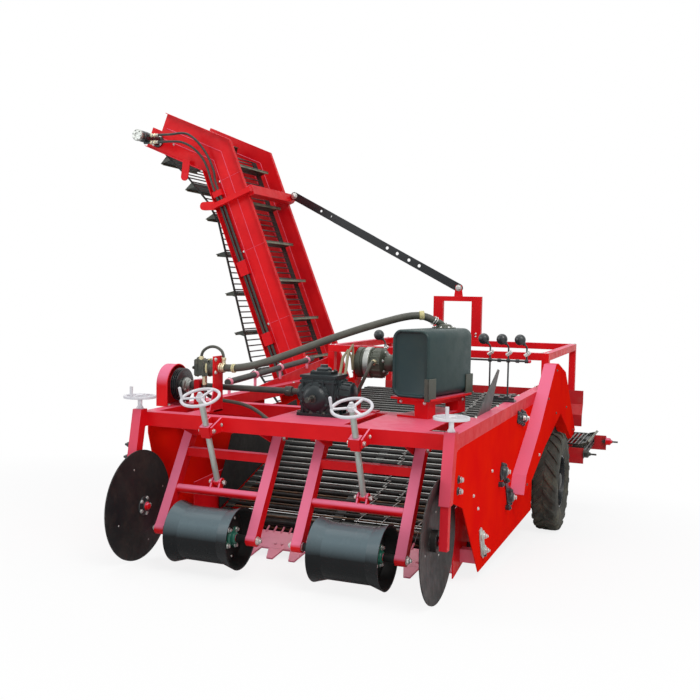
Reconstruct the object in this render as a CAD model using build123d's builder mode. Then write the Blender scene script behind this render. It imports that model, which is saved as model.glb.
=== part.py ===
from build123d import *
import os
from math import asin, atan2, cos, degrees, hypot, pi, radians, sin, tan

# Two-row trailed potato harvester with a side elevator. Millimetres.
# Machine frame: X to the machine's left, Y to the rear from the front beam's front face, Z up from the beam's top.
# At the end every piece is turned nose-down about X, because the unhitched machine rests on its shares and tyres.

os.makedirs("parts", exist_ok=True)

# Main frame
half_width = 975
beam_wide = 80
beam_deep = 84
rail_side = 80
rail_end = 3020
panel_thick = 6
panel_bottom = -888
second_beam_y = 620
seat_gap = 0.3

# Front legs and coulter discs
leg_side = 60
leg_x = 955
leg_top = 20
leg_foot_z = -350
leg_foot_y = -105
crank_y = -30
crank_z = 86
crank_radius = 95
coulter_x = 881
coulter_y = -94
coulter_z = -543
coulter_radius = 326
coulter_thick = 6
coulter_dish = 36
coulter_hub_radius = 58

# Depth rollers and their swinging frames
row_x = 436
arm_half_gap = 297
arm_side = 60
arm_pivot_y = 192
arm_pivot_z = -120
arm_foot_y = -134
arm_foot_z = -652
roller_half_width = 200
roller_x_shift = 25
roller_rim_radius = 175
roller_waist_radius = 152
roller_waist_half = 125
roller_wall = 6
upper_cross_z = -238
lower_cross_z = -437
lower_cross_radius = 25

# Depth screws: a column from the clevis on the roller frame, through the trunnion on the beam, to the hand wheel
screw_x_shift = 20
clevis_y = 27
clevis_z = -385
trunnion_y = -95
trunnion_z = -67
hand_wheel_y = -171
hand_wheel_z = 131
column_radius = 17
hand_wheel_radius = 116
hand_wheel_tube = 9

# Shares and digging web
share_tip_y = 390
share_tip_z = -923
share_back_y = 640
share_back_z = -826.6
share_thick = 10
share_inner_x = 40
share_outer_x = 850
share_teeth = 5
share_tooth_pitch = 150
share_first_tooth = 106
share_tooth_reach = 92
share_tooth_half = 50
share_tip_half = 20
web_half_width = 820
web_thick = 14
web_half_gap = 64
web_front = (760, -790)
web_middle = (1960, -395)
web_rear = (3440, -230)

# Running gear
wheel_x = half_width + 75
wheel_y = 2670
wheel_z = -737
tyre_radius = 390
tyre_width = 200
rim_radius = 205
axle_side = 70
axle_radius = 30
wheel_arch_y = 2240
wheel_arch_z = -290
panel_end = 3560
curtain_top = -255

# Rear frame and cross conveyor
rear_front_y = 2890
rear_back_y = 4450
rear_tube = 60
rear_rail_top = 260
cross_near_y = 3630
cross_far_y = 4470
cross_plate = 6
cross_top = -620
cross_bottom = -760
cross_left_near = 1180
cross_left_far = 1290
cross_strand_z = -600
cross_return_z = -745

# Elevator
elevator_angle = 68.2
head_angle = 22
elevator_foot = (-1180, -800)
elevator_length = 3285
head_length = 810
head_reach = 925
head_drum_radius = 70
foot_drum_radius = 88
flight_pitch = 420
carrying_first = 435
return_first = 113
flight_high = 110
flight_thick = 8
elevator_depth = 400
elevator_near_y = 3614
elevator_far_y = 4486
elevator_plate = 6
elevator_flange = 40
carry_inset = 170
strand_half_width = 355
elevator_pivot = (-1400, -660)
collar_height = elevator_length - 570

# Strut that holds the elevator
portal_pin = (-210, 790)
strut_y = 4450
strut_wide = 86
strut_thick = 10
strut_pin_radius = 15
strut_lap = 500
strut_pin_offset = 115

# Drive and hydraulics
gearbox_x = 50
gearbox_y = 400
pto_x = 30
pto_z = 105
pto_radius = 17.5
pto_journal_radius = 24
pto_length = 77
pto_face_y = 272
shaft_y = 380
shaft_z = 130
shaft_radius = 19
pulley_x = 53 - half_width
pulley_radius = 105
guard_radius = 128
guard_outer_x = -half_width - 55
guard_inner_x = 23 - half_width
guard_plate = 4
tank_turn = -12.8
tank_wide = 250
tank_long = 545
tank_high = 400
tank_floor = 120
tank_x = 620
tank_y = 746
suction_radius = 23
suction_start = (-560, 300, 258)
suction_end = (580, 853, 570)

# Gearbox: base plate, body, output and input bosses, side cover and top block
gearbox_half_wide = 110
gearbox_half_long = 90
gearbox_base = 16
gearbox_top = 240
gearbox_cap_top = 300
gearbox_boss_radius = 55
gearbox_cover_radius = 80
gearbox_cover_reach = 90
bore_clearance = 0.05

# Right pump on its bracket: the pump's block and round neck, and its three ports
pump_plate_x = -620
pump_plate_thick = 10
pump_y = 300
pump_z = 255
pump_neck_radius = 60
pump_block = 100
pump_port_x = -578
pump_port_radius = 13
pump_low_port_x = -710

# Centre pump: a drum on an upright plate, with a neck and a side outlet
centre_pump_x = 150
centre_pump_y = 700
centre_pump_z = 300
centre_pump_radius = 95
centre_pump_long = 200
centre_pump_neck_radius = 50
centre_pump_plate_high = 400
outlet_x = 290
outlet_z = 310
outlet_y = 585

# Deck plates behind the front beam, and the end bracket that holds the low hose
gearbox_deck = (-170, 310)
gearbox_deck_thick = 12
tank_deck = (380, 800)
tank_deck_thick = 8

sides = (("left", 1), ("right", -1))


def block(x0, x1, y0, y1, z0, z1, mode=Mode.ADD):
    with Locations(((x0 + x1) / 2, (y0 + y1) / 2, (z0 + z1) / 2)):
        Box(abs(x1 - x0), abs(y1 - y0), abs(z1 - z0), mode=mode)


def bar(start, end, width, depth, across=(1, 0, 0), mode=Mode.ADD):
    run = Vector(*end) - Vector(*start)
    with BuildSketch(Plane(origin=start, x_dir=across, z_dir=run.normalized())) as section:
        Rectangle(width, depth)
    extrude(section.sketch, amount=run.length, mode=mode)


def rod(start, end, radius, mode=Mode.ADD):
    run = Vector(*end) - Vector(*start)
    with BuildSketch(Plane(origin=start, z_dir=run.normalized())) as section:
        Circle(radius)
    extrude(section.sketch, amount=run.length, mode=mode)


def side_plate(outline, x, thickness, mode=Mode.ADD):
    """A plate across X: outline in (Y, Z), from x towards +X."""
    with BuildSketch(Plane.YZ.offset(x)) as section:
        with BuildLine():
            Polyline(*outline, close=True)
        make_face()
    extrude(section.sketch, amount=thickness, mode=mode)


def cross_plate_xz(outline, y, thickness, mode=Mode.ADD):
    """A plate across Y: outline in (X, Z), from y towards +Y."""
    with BuildSketch(Plane.XZ.offset(-y)) as section:
        with BuildLine():
            Polyline(*outline, close=True)
        make_face()
    extrude(section.sketch, amount=-thickness, mode=mode)


def beside(points, distance):
    """A line of 2-D points moved sideways, positive to its left, with mitred corners."""
    moved = []
    for here, point in enumerate(points):
        before = points[max(here - 1, 0)]
        after = points[min(here + 1, len(points) - 1)]
        into = Vector(point[0] - before[0], point[1] - before[1])
        away = Vector(after[0] - point[0], after[1] - point[1])
        into = into.normalized() if into.length else away.normalized()
        away = away.normalized() if away.length else into
        mid = (into + away).normalized()
        reach = distance / (mid.X * into.X + mid.Y * into.Y)
        moved.append((point[0] - mid.Y * reach, point[1] + mid.X * reach))
    return moved


def strip(points, thickness):
    """The closed outline of a band of this thickness along a line of 2-D points."""
    return beside(points, thickness / 2) + beside(points, -thickness / 2)[::-1]


def hose(name, route, radius):
    """A hose as straight runs joined by tangent arcs; prints its arcs' radii."""
    spots = [Vector(*spot) for spot in route]
    radii = []
    for before, here, after in zip(spots, spots[1:], spots[2:]):
        turn = (here - before).get_angle(after - here)
        radii.append(0.45 * min((here - before).length, (after - here).length) / tan(radians(turn / 2)))
    print(name, "arc radii", [round(r) for r in radii])
    with BuildPart() as tube:
        with BuildLine() as path:
            route_line = FilletPolyline(*spots, radius=radii)
        with BuildSketch(Plane(origin=route_line @ 0, z_dir=route_line % 0)):
            Circle(radius)
        sweep()
    length = route_line.length
    print(name, "length", round(length), "volume share", round(tube.part.volume / (length * pi * radius**2), 4))
    return tube.part


def on_line(start, end, z):
    """The Y at height z on the line between two (Y, Z) points."""
    share = (z - start[1]) / (end[1] - start[1])
    return start[0] + share * (end[0] - start[0])


# ---------------------------------------------------------------- elevator geometry
up = (-cos(radians(elevator_angle)), sin(radians(elevator_angle)))
out = (sin(radians(elevator_angle)), cos(radians(elevator_angle)))
head_up = (-cos(radians(head_angle)), sin(radians(head_angle)))
head_out = (sin(radians(head_angle)), cos(radians(head_angle)))


def elevator_point(along, offset):
    """(X, Z) on the main run: along from the foot, offset from the walls' upper edge, outward positive."""
    return (
        elevator_foot[0] + along * up[0] + offset * out[0],
        elevator_foot[1] + along * up[1] + offset * out[1],
    )


def corner_point(offset):
    """(X, Z) on the bend between main run and head, offset from the upper edge."""
    share = offset / (1 + up[0] * head_up[0] + up[1] * head_up[1])
    corner = elevator_point(elevator_length, 0)
    return (corner[0] + share * (out[0] + head_out[0]), corner[1] + share * (out[1] + head_out[1]))


def head_point(along, offset):
    corner = elevator_point(elevator_length, 0)
    return (
        corner[0] + along * head_up[0] + offset * head_out[0],
        corner[1] + along * head_up[1] + offset * head_out[1],
    )


elevator_pin = elevator_point(collar_height, strut_pin_offset)
strut_length = hypot(elevator_pin[0] - portal_pin[0], elevator_pin[1] - portal_pin[1])

pieces = {}

# ---------------------------------------------------------------- main frame
with BuildPart() as front_beam:
    block(-half_width, half_width, 0, beam_wide, -beam_deep, 0)
    for _, side in sides:
        for arm in (-1, 1):
            x = side * row_x + arm * (arm_half_gap - arm_side / 2 - 12)
            side_plate([(10, -beam_deep), (70, -beam_deep), (arm_pivot_y + 30, -95), (arm_pivot_y + 30, -150),
                        (arm_pivot_y - 30, -150)], x - 5, 10)
            rod((x, arm_pivot_y, arm_pivot_z), (x + arm * (arm_side + 32), arm_pivot_y, arm_pivot_z), 12)
        for ear in (-1, 1):
            x = side * (row_x + screw_x_shift) + ear * 36
            side_plate([(0, 0), (0, -beam_deep), (trunnion_y - 22, trunnion_z - 22),
                        (trunnion_y - 22, trunnion_z + 22)], x - 5, 10)
            rod((x - 10, trunnion_y, trunnion_z), (x + 10, trunnion_y, trunnion_z), 11.3, mode=Mode.SUBTRACT)
pieces["front_beam"] = front_beam.part

with BuildPart() as chassis_rails:
    for _, side in sides:
        block(side * (half_width - rail_side), side * half_width, beam_wide, rail_end, -rail_side, 0)
    block(rail_side - half_width, half_width - rail_side, second_beam_y, second_beam_y + beam_wide, -rail_side, 0)
    block(*gearbox_deck, beam_wide, second_beam_y, -gearbox_deck_thick, 0)
    block(*tank_deck, beam_wide, second_beam_y, -tank_deck_thick, 0)
    block(-40, 0, 415, 455, -170, -12)
    rod((155, 565, -6), (155, 565, 14), 14)
    side_plate([(1400, 0), (2850, 0), (2850, 150)], -half_width, panel_thick)
    block(pulley_x + 110, pulley_x + 150, shaft_y - 40, shaft_y + 40, -72, shaft_z + 40)
    block(-half_width + rail_side, pulley_x + 150, shaft_y - 40, shaft_y + 40, -72, -60)
    rod((pulley_x + 90, shaft_y, shaft_z), (pulley_x + 170, shaft_y, shaft_z), shaft_radius + bore_clearance,
        mode=Mode.SUBTRACT)
pieces["chassis_rails"] = chassis_rails.part

panel_outline = [
    (beam_wide, -rail_side),
    (beam_wide, -140),
    (170, -420),
    (570, panel_bottom),
    (wheel_arch_y, panel_bottom),
    (wheel_arch_y, wheel_arch_z - 170),
    (wheel_arch_y + 170, wheel_arch_z),
    (panel_end, wheel_arch_z),
    (panel_end, -rail_side),
]
with BuildPart() as side_panels:
    for _, side in sides:
        side_plate(panel_outline, side * half_width - (panel_thick if side > 0 else 0), panel_thick)
    block(-half_width, -half_width + panel_thick, 1620, 1920, -150, -rail_side - 10, mode=Mode.SUBTRACT)
pieces["side_panels"] = side_panels.part

with BuildPart() as side_curtains:
    for _, side in sides:
        side_plate([(3000, curtain_top), (3600, curtain_top), (3600, -520), (3110, -520), (3000, -430)],
                   side * (half_width - panel_thick) - (panel_thick if side > 0 else 0), panel_thick)
pieces["side_curtains"] = side_curtains.part


# Front legs: a leaning post on the beam's end, the coulter's arm in it and its stub axle
with BuildPart() as front_legs:
    for _, side in sides:
        side_plate(
            [
                (0, leg_top),
                (-leg_side, leg_top),
                (leg_foot_y - leg_side / 2, leg_foot_z),
                (leg_foot_y + leg_side / 2, leg_foot_z),
                (-18, -beam_deep),
                (0, -beam_deep),
            ],
            side * leg_x - leg_side / 2,
            leg_side,
        )
        bar((side * leg_x, leg_foot_y, leg_foot_z), (side * leg_x, coulter_y - 20, coulter_z - 40), 44, 44)
        hub_face = coulter_x + coulter_thick / 2 + 40
        rod((side * hub_face, coulter_y, coulter_z), (side * leg_x, coulter_y, coulter_z), 26)
        rod((side * (coulter_x - 34), coulter_y, coulter_z), (side * hub_face, coulter_y, coulter_z), 14)
    # crank wheels lying flat over the posts
    for _, side in sides:
        rod((side * leg_x, crank_y, leg_top), (side * leg_x, crank_y, crank_z + 14), 12)
        with BuildSketch(Plane.XY.offset(crank_z)) as section:
            with Locations((side * leg_x, crank_y)):
                Circle(crank_radius)
                Circle(crank_radius - 15, mode=Mode.SUBTRACT)
                Rectangle(2 * crank_radius - 20, 16)
                Circle(22)
        extrude(section.sketch, amount=14)
        rod((side * leg_x, crank_y - crank_radius + 8, crank_z + 12),
            (side * leg_x, crank_y - crank_radius + 8, crank_z + 74), 8)
pieces["front_legs"] = front_legs.part

# Coulter discs: dished plate, hub outboard, turning on the stub axle
for name, side in sides:
    with BuildPart() as coulter:
        with BuildSketch(Plane.XY) as section:
            with BuildLine():
                inner = [(coulter_dish, coulter_radius), (coulter_dish / 4, coulter_radius / 2), (0, 60)]
                Polyline(
                    (0, 14.5),
                    inner[2],
                    inner[1],
                    inner[0],
                    (inner[0][0] + coulter_thick, coulter_radius),
                    (inner[1][0] + coulter_thick, inner[1][1]),
                    (coulter_thick, coulter_hub_radius),
                    (coulter_thick + 36, coulter_hub_radius),
                    (coulter_thick + 36, 14.5),
                    close=True,
                )
            make_face()
        revolve(section.sketch, axis=Axis.X)
    turned = coulter.part if side > 0 else mirror(coulter.part, about=Plane.YZ)
    pieces[f"coulter_{name}"] = Pos(side * (coulter_x - coulter_thick / 2), coulter_y, coulter_z) * turned

# ---------------------------------------------------------------- depth rollers
arm_top = (arm_pivot_y, arm_pivot_z)
arm_foot = (arm_foot_y, arm_foot_z)
screw_lean = (hand_wheel_y - clevis_y, hand_wheel_z - clevis_z)
for name, side in sides:
    centre = side * row_x
    screw_x = side * (row_x + screw_x_shift)
    with BuildPart() as roller_frame:
        for arm in (-1, 1):
            x = centre + arm * arm_half_gap
            bar((x, *arm_top), (x, *arm_foot), arm_side, arm_side)
            rod((x - arm_side / 2, *arm_top), (x + arm_side / 2, *arm_top), 30)
            rod((x - arm_side / 2, *arm_foot), (x + arm_side / 2, *arm_foot), 34)
            rod((x, *arm_foot), (centre + roller_x_shift + arm * (roller_waist_half - 40), *arm_foot), 20)
        upper_y = on_line(arm_top, arm_foot, upper_cross_z)
        lower_y = on_line(arm_top, arm_foot, lower_cross_z)
        inner = arm_half_gap - arm_side / 2
        block(centre - inner, centre + inner, upper_y - 25, upper_y + 25, upper_cross_z - 25, upper_cross_z + 25)
        rod((centre - inner, lower_y, lower_cross_z), (centre + inner, lower_y, lower_cross_z), lower_cross_radius)
        for ear in (-1, 1):
            x = screw_x + ear * 27
            rod((x - 5, clevis_y, clevis_z), (x + 5, clevis_y, clevis_z), 26)
            bar((x, clevis_y, clevis_z), (x, lower_y, lower_cross_z), 10, 44)
        for arm in (-1, 1):
            x = centre + arm * arm_half_gap
            rod((x - arm_side, *arm_top), (x + arm_side, *arm_top), 12.5, mode=Mode.SUBTRACT)
        rod((screw_x - 60, clevis_y, clevis_z), (screw_x + 60, clevis_y, clevis_z), 14, mode=Mode.SUBTRACT)
    pieces[f"roller_frame_{name}"] = roller_frame.part

    with BuildPart() as roller:
        with BuildSketch(Plane.XY) as section:
            with BuildLine():
                waist = roller_waist_half
                Polyline(
                    (-roller_half_width, roller_rim_radius),
                    (-waist, roller_waist_radius),
                    (waist, roller_waist_radius),
                    (roller_half_width, roller_rim_radius),
                    (roller_half_width, roller_rim_radius - roller_wall),
                    (waist, roller_waist_radius - roller_wall),
                    (waist, 20.5),
                    (-waist, 20.5),
                    (-waist, roller_waist_radius - roller_wall),
                    (-roller_half_width, roller_rim_radius - roller_wall),
                    close=True,
                )
            make_face()
        revolve(section.sketch, axis=Axis.X)
    pieces[f"roller_{name}"] = Pos(centre + roller_x_shift, *arm_foot) * roller.part

    # Trunnion: two ears on the beam's face carry a block that the column passes through
    with BuildPart() as trunnion:
        lean = degrees(atan2(-screw_lean[0], screw_lean[1]))
        with BuildSketch(Plane(origin=(screw_x, trunnion_y, trunnion_z), x_dir=(1, 0, 0),
                               z_dir=(0, *screw_lean)).offset(-35)) as section:
            Rectangle(56, 56)
            Circle(column_radius + 0.5, mode=Mode.SUBTRACT)
        extrude(section.sketch, amount=70)
        for ear in (-1, 1):
            rod((screw_x + ear * 26, trunnion_y, trunnion_z), (screw_x + ear * 46, trunnion_y, trunnion_z), 11)
    pieces[f"screw_trunnion_{name}"] = trunnion.part

    length = hypot(*screw_lean)
    axis = (0, screw_lean[0] / length, screw_lean[1] / length)
    with BuildPart() as depth_screw:
        start = (screw_x, clevis_y + 10 * axis[1], clevis_z + 10 * axis[2])
        rod(start, (screw_x, hand_wheel_y, hand_wheel_z), column_radius)
        rod((screw_x - 18, clevis_y, clevis_z), (screw_x + 18, clevis_y, clevis_z), 21)
        rod((screw_x - 40, clevis_y, clevis_z), (screw_x + 40, clevis_y, clevis_z), 10)
        rim_plane = Plane(origin=(screw_x, hand_wheel_y, hand_wheel_z), x_dir=(1, 0, 0), z_dir=axis)
        with BuildSketch(rim_plane.offset(-6)) as section:
            Circle(hand_wheel_radius)
            Circle(hand_wheel_radius - 2 * hand_wheel_tube, mode=Mode.SUBTRACT)
            with PolarLocations(0, 3, 90):
                Rectangle(hand_wheel_radius - hand_wheel_tube, 16, align=(Align.MIN, Align.CENTER))
            Circle(24)
        extrude(section.sketch, amount=2 * hand_wheel_tube - 4)
    pieces[f"depth_screw_{name}"] = depth_screw.part

# ---------------------------------------------------------------- shares and digging web
with BuildPart() as shares:
    slope = atan2(share_back_z - share_tip_z, share_back_y - share_tip_y)
    lift = share_thick / cos(slope)
    blade_y = share_tip_y + 90
    blade_z = share_tip_z + 90 * tan(slope)
    for _, side in sides:
        x0, x1 = sorted((side * share_inner_x, side * share_outer_x))
        side_plate([(blade_y, blade_z), (share_back_y, share_back_z), (share_back_y, share_back_z + lift),
                    (blade_y, blade_z + lift)], x0, x1 - x0)
        for tooth in range(share_teeth):
            x = side * (share_inner_x + share_first_tooth + tooth * share_tooth_pitch)
            tip = Plane(origin=(x, share_tip_y, share_tip_z), x_dir=(1, 0, 0), z_dir=(0, -sin(slope), cos(slope)))
            with BuildSketch(tip) as section:
                with BuildLine():
                    reach = share_tooth_reach / cos(slope)
                    Polyline((-share_tip_half, 0), (share_tip_half, 0), (share_tooth_half, reach),
                             (-share_tooth_half, reach), close=True)
                make_face()
            extrude(section.sketch, amount=share_thick)
        # arm that carries the share's outer end to the side panel
        block(side * share_outer_x, side * (half_width - panel_thick), share_back_y - 60, share_back_y,
              share_back_z - 18, share_back_z + 60)
pieces["shares"] = shares.part

web_slope = atan2(web_middle[1] - web_front[1], web_middle[0] - web_front[0])
web_end_slope = atan2(web_rear[1] - web_middle[1], web_rear[0] - web_middle[0])
with BuildPart() as web_drums:
    for (y, z), slope in ((web_front, web_slope), (web_middle, web_slope), (web_rear, web_end_slope)):
        radius = (web_half_gap - web_thick / 2) * cos(slope) - seat_gap
        rod((-web_half_width, y, z), (web_half_width, y, z), radius)
        rod((panel_thick - half_width, y, z), (half_width - panel_thick, y, z), 20)
pieces["web_drums"] = web_drums.part


def strand(points, offset, thickness):
    """A strand's outline: the line through (Y, Z) points, moved up by offset."""
    upper = [(y, z + offset + thickness / 2) for y, z in points]
    lower = [(y, z + offset - thickness / 2) for y, z in points]
    return upper + lower[::-1]


web_points = [web_front, web_middle, web_rear]
with BuildPart() as web_carrying:
    side_plate(strand(web_points, web_half_gap, web_thick), -web_half_width, 2 * web_half_width)
pieces["digging_web_top"] = web_carrying.part
with BuildPart() as web_return:
    side_plate(strand(web_points, -web_half_gap, web_thick), -web_half_width, 2 * web_half_width)
pieces["digging_web_bottom"] = web_return.part

# ---------------------------------------------------------------- running gear
lower_rail_inner = half_width - 95
with BuildPart() as axle:
    block(-lower_rail_inner, lower_rail_inner, wheel_y - axle_side / 2, wheel_y + axle_side / 2,
          wheel_z - axle_side / 2, wheel_z + axle_side / 2)
    rod((-wheel_x - 60, wheel_y, wheel_z), (wheel_x + 60, wheel_y, wheel_z), axle_radius)
pieces["axle"] = axle.part

for name, side in sides:
    with BuildPart() as tyre:
        with BuildSketch(Plane.XY) as section:
            with BuildLine():
                half = tyre_width / 2
                Polyline(
                    (-half + 25, rim_radius),
                    (-half, rim_radius + 55),
                    (-half, tyre_radius - 45),
                    (-half + 22, tyre_radius),
                    (half - 22, tyre_radius),
                    (half, tyre_radius - 45),
                    (half, rim_radius + 55),
                    (half - 25, rim_radius),
                    close=True,
                )
            make_face()
        revolve(section.sketch, axis=Axis.X)
    pieces[f"tyre_{name}"] = Pos(side * wheel_x, wheel_y, wheel_z) * tyre.part
    with BuildPart() as rim:
        with BuildSketch(Plane.XY) as section:
            with BuildLine():
                half = tyre_width / 2 - 20
                edge = rim_radius - seat_gap
                Polyline(
                    (-half, edge),
                    (half, edge),
                    (half, edge - 12),
                    (20, edge - 20),
                    (14, 70),
                    (70, 60),
                    (70, axle_radius + 0.5),
                    (-80, axle_radius + 0.5),
                    (-80, 60),
                    (-2, 70),
                    (4, edge - 20),
                    (-half, edge - 12),
                    close=True,
                )
            make_face()
        revolve(section.sketch, axis=Axis.X)
    turned = rim.part if side > 0 else mirror(rim.part, about=Plane.YZ)
    pieces[f"rim_{name}"] = Pos(side * wheel_x, wheel_y, wheel_z) * turned

# ---------------------------------------------------------------- rear frame
back_rail_y = rear_back_y - rear_tube / 2
front_rail_y = rear_front_y - rear_tube / 2
with BuildPart() as rear_upper_frame:
    for y in (front_rail_y, back_rail_y):
        block(-half_width, half_width, y, y + rear_tube, rear_rail_top - rear_tube, rear_rail_top)
    for _, side in sides:
        block(side * (half_width - rear_tube), side * half_width, front_rail_y + rear_tube, back_rail_y,
              rear_rail_top - rear_tube, rear_rail_top)
pieces["rear_upper_frame"] = rear_upper_frame.part

with BuildPart() as rear_posts:
    for _, side in sides:
        x0, x1 = side * (half_width - rear_tube), side * half_width
        block(x0, x1, front_rail_y, front_rail_y + rear_tube, 0, rear_rail_top - rear_tube)
        block(x0, x1, back_rail_y, back_rail_y + rear_tube, cross_strand_z + 15, rear_rail_top - rear_tube)
        block(x0, x1, cross_far_y, cross_far_y + 10, cross_bottom + 20, cross_strand_z + 15)
pieces["rear_posts"] = rear_posts.part

with BuildPart() as rear_board:
    face = back_rail_y
    side_plate(
        [(face, -190), (face, -325), (face - 60, -420), (face - 60, -530), (face - 66, -530), (face - 66, -418),
         (face - 6, -322), (face - 6, -190)],
        -half_width, 2 * half_width + 90)
pieces["rear_board"] = rear_board.part

with BuildPart() as strut_portal:
    y0 = back_rail_y + 5
    top = 705
    for x in (-420, -20):
        block(x - 50, x + 50, y0, y0 + 50, rear_rail_top, top - 50)
    block(-470, 30, y0, y0 + 50, top - 50, top)
    cross_plate_xz([(portal_pin[0] - 45, top), (portal_pin[0] + 45, top), (portal_pin[0] + 30, portal_pin[1] + 28),
                    (portal_pin[0] - 30, portal_pin[1] + 28)], strut_y - 22, 8)
    rod((portal_pin[0], strut_y - 22, portal_pin[1]), (portal_pin[0], strut_y + 6, portal_pin[1]), strut_pin_radius)
pieces["strut_portal"] = strut_portal.part

lower_rail_y = (wheel_arch_y - 220, cross_near_y)
with BuildPart() as lower_rear_rails:
    for _, side in sides:
        x0, x1 = side * (lower_rail_inner - 60), side * lower_rail_inner
        block(x0, x1, *lower_rail_y, wheel_z - axle_side / 2 - 60, wheel_z - axle_side / 2)
        block(side * lower_rail_inner, side * (half_width - panel_thick), lower_rail_y[0], wheel_arch_y,
              wheel_z - axle_side / 2 - 60, wheel_z - axle_side / 2)
pieces["lower_rear_rails"] = lower_rear_rails.part

# ---------------------------------------------------------------- cross conveyor
cross_right = elevator_pivot[0] - 45
with BuildPart() as cross_conveyor_frame:
    for y, left in ((cross_near_y, cross_left_near), (cross_far_y - cross_plate, cross_left_far)):
        block(cross_right, left, y, y + cross_plate, cross_bottom, cross_top)
    for x in (-900, 0, 800):
        rod((x, cross_near_y + cross_plate, -690), (x, cross_far_y - cross_plate, -690), 18)
    for y, outward in ((cross_near_y, -1), (cross_far_y, 1)):
        rod((elevator_pivot[0], y, elevator_pivot[1]), (elevator_pivot[0], y + outward * 22, elevator_pivot[1]), 20)
pieces["cross_conveyor_frame"] = cross_conveyor_frame.part

cross_centre_y = (cross_near_y + cross_far_y) / 2
strand_near = cross_centre_y - strand_half_width
strand_far = cross_centre_y + strand_half_width
cross_start = elevator_pivot[0] + 130
tail_x = cross_left_near - 70
with BuildPart() as cross_web:
    block(cross_start, tail_x, strand_near, strand_far, cross_strand_z - 7, cross_strand_z + 7)
    block(cross_start, tail_x, strand_near, strand_far, cross_return_z - 7, cross_return_z + 7)
pieces["cross_conveyor_web"] = cross_web.part

with BuildPart() as cross_tail:
    mid = (cross_strand_z + cross_return_z) / 2
    drum_radius = (cross_strand_z - cross_return_z - web_thick) / 2 - seat_gap
    for x in (cross_start, tail_x):
        rod((x, strand_near, mid), (x, strand_far, mid), drum_radius)
        rod((x, cross_near_y + cross_plate, mid), (x, cross_far_y - cross_plate, mid), 16)
    for y, left in ((cross_near_y + cross_plate + 15, cross_left_near), (cross_far_y - cross_plate - 15, cross_left_far)):
        block(left - 30, left, y - 15, y + 15, mid - 15, mid + 15)
        rod((left - 40, y, mid), (left + 110, y, mid), 8)
pieces["cross_conveyor_drums"] = cross_tail.part

# ---------------------------------------------------------------- elevator
wall_outline = [
    elevator_point(0, 0),
    elevator_point(elevator_length, 0),
    head_point(head_length, 0),
    head_point(head_length, -190),
    head_point(head_reach, -190),
    head_point(head_reach, -elevator_depth),
    corner_point(-elevator_depth),
    elevator_point(0, -elevator_depth),
]
flanged_edges = ((0, 2), (5, 7))
with BuildPart() as elevator_walls:
    for y, outward in ((elevator_near_y, -1), (elevator_far_y, 1)):
        inner_y = y if outward < 0 else y - elevator_plate
        cross_plate_xz(wall_outline, inner_y, elevator_plate)
        flange_y = y + outward * elevator_flange
        for first, last in flanged_edges:
            edge = wall_outline[first : last + 1]
            cross_plate_xz(edge + beside(edge, elevator_plate)[::-1], min(y, flange_y), elevator_flange)
    for y, outward in ((elevator_near_y, -1), (elevator_far_y, 1)):
        rod((elevator_pivot[0], y - 60, elevator_pivot[1]), (elevator_pivot[0], y + 60, elevator_pivot[1]), 21,
            mode=Mode.SUBTRACT)
pieces["elevator_walls"] = elevator_walls.part

tongue_radius = 42
collar_tongue = elevator_point(collar_height + 46, -495)
with BuildPart() as elevator_collar:
    low = elevator_point(collar_height, -elevator_depth)
    high = elevator_point(collar_height, 60)
    near = elevator_near_y - elevator_flange - 25
    far = elevator_far_y + elevator_flange + 25
    for y in (near, far):
        bar((low[0], y, low[1]), (high[0], y, high[1]), 50, 50, across=(0, 1, 0))
        cross_plate_xz(strip([collar_tongue, (low[0] + 20, low[1] + 10)], 2 * tongue_radius), y - 20, 40)
        rod((collar_tongue[0], y - 20, collar_tongue[1]), (collar_tongue[0], y + 20, collar_tongue[1]), tongue_radius)
    tube = elevator_point(collar_height, 30)
    rod((tube[0], near + 25, tube[1]), (tube[0], far - 25, tube[1]), 29)
    pin = elevator_pin
    rod((pin[0], strut_y + 11.3, pin[1]), (pin[0], strut_y + 30, pin[1]), 30)
    bar((tube[0], strut_y + 21, tube[1]), (pin[0], strut_y + 21, pin[1]), 18, 50, across=(0, 1, 0))
    for along in (500, 1700):
        p = elevator_point(along, -(carry_inset + elevator_depth) / 2 - 20)
        rod((p[0], elevator_near_y + elevator_plate, p[1]), (p[0], elevator_far_y - elevator_plate, p[1]), 20)
pieces["elevator_collar"] = elevator_collar.part

head_drum = head_point(head_length + 4, -300)
foot_drum = elevator_point(110, -275)


def flights(spots, outward):
    """Paddles standing off a strand at these (X, Z, direction) spots."""
    for x, z, direction in spots:
        stand = Vector(-direction.Y, direction.X) * outward
        tip = (x + stand.X * flight_high, z + stand.Y * flight_high)
        cross_plate_xz(strip([(x, z), tip], flight_thick), strand_near, 2 * strand_half_width)


def spots_along(points, pitch, first):
    """Every pitch along a line of (X, Z) points, from first on: place and direction of travel."""
    spots, reach = [], first
    for start, end in zip(points, points[1:]):
        run = Vector(end[0] - start[0], end[1] - start[1])
        while reach < run.length:
            unit = run.normalized()
            spots.append((start[0] + unit.X * reach, start[1] + unit.Y * reach, unit))
            reach += pitch
        reach -= run.length
    return spots


belt_gap = web_thick / 2 + seat_gap
carrying_line = [
    elevator_point(110, -275 + foot_drum_radius + belt_gap),
    elevator_point(500, -carry_inset),
    corner_point(-carry_inset),
    head_point(head_length + 4, -300 + head_drum_radius + belt_gap),
]
with BuildPart() as elevator_carrying:
    cross_plate_xz(strip(carrying_line, web_thick), strand_near, 2 * strand_half_width)
    flights(spots_along(carrying_line, flight_pitch, carrying_first), -1)
pieces["elevator_web_carrying"] = elevator_carrying.part

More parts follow.
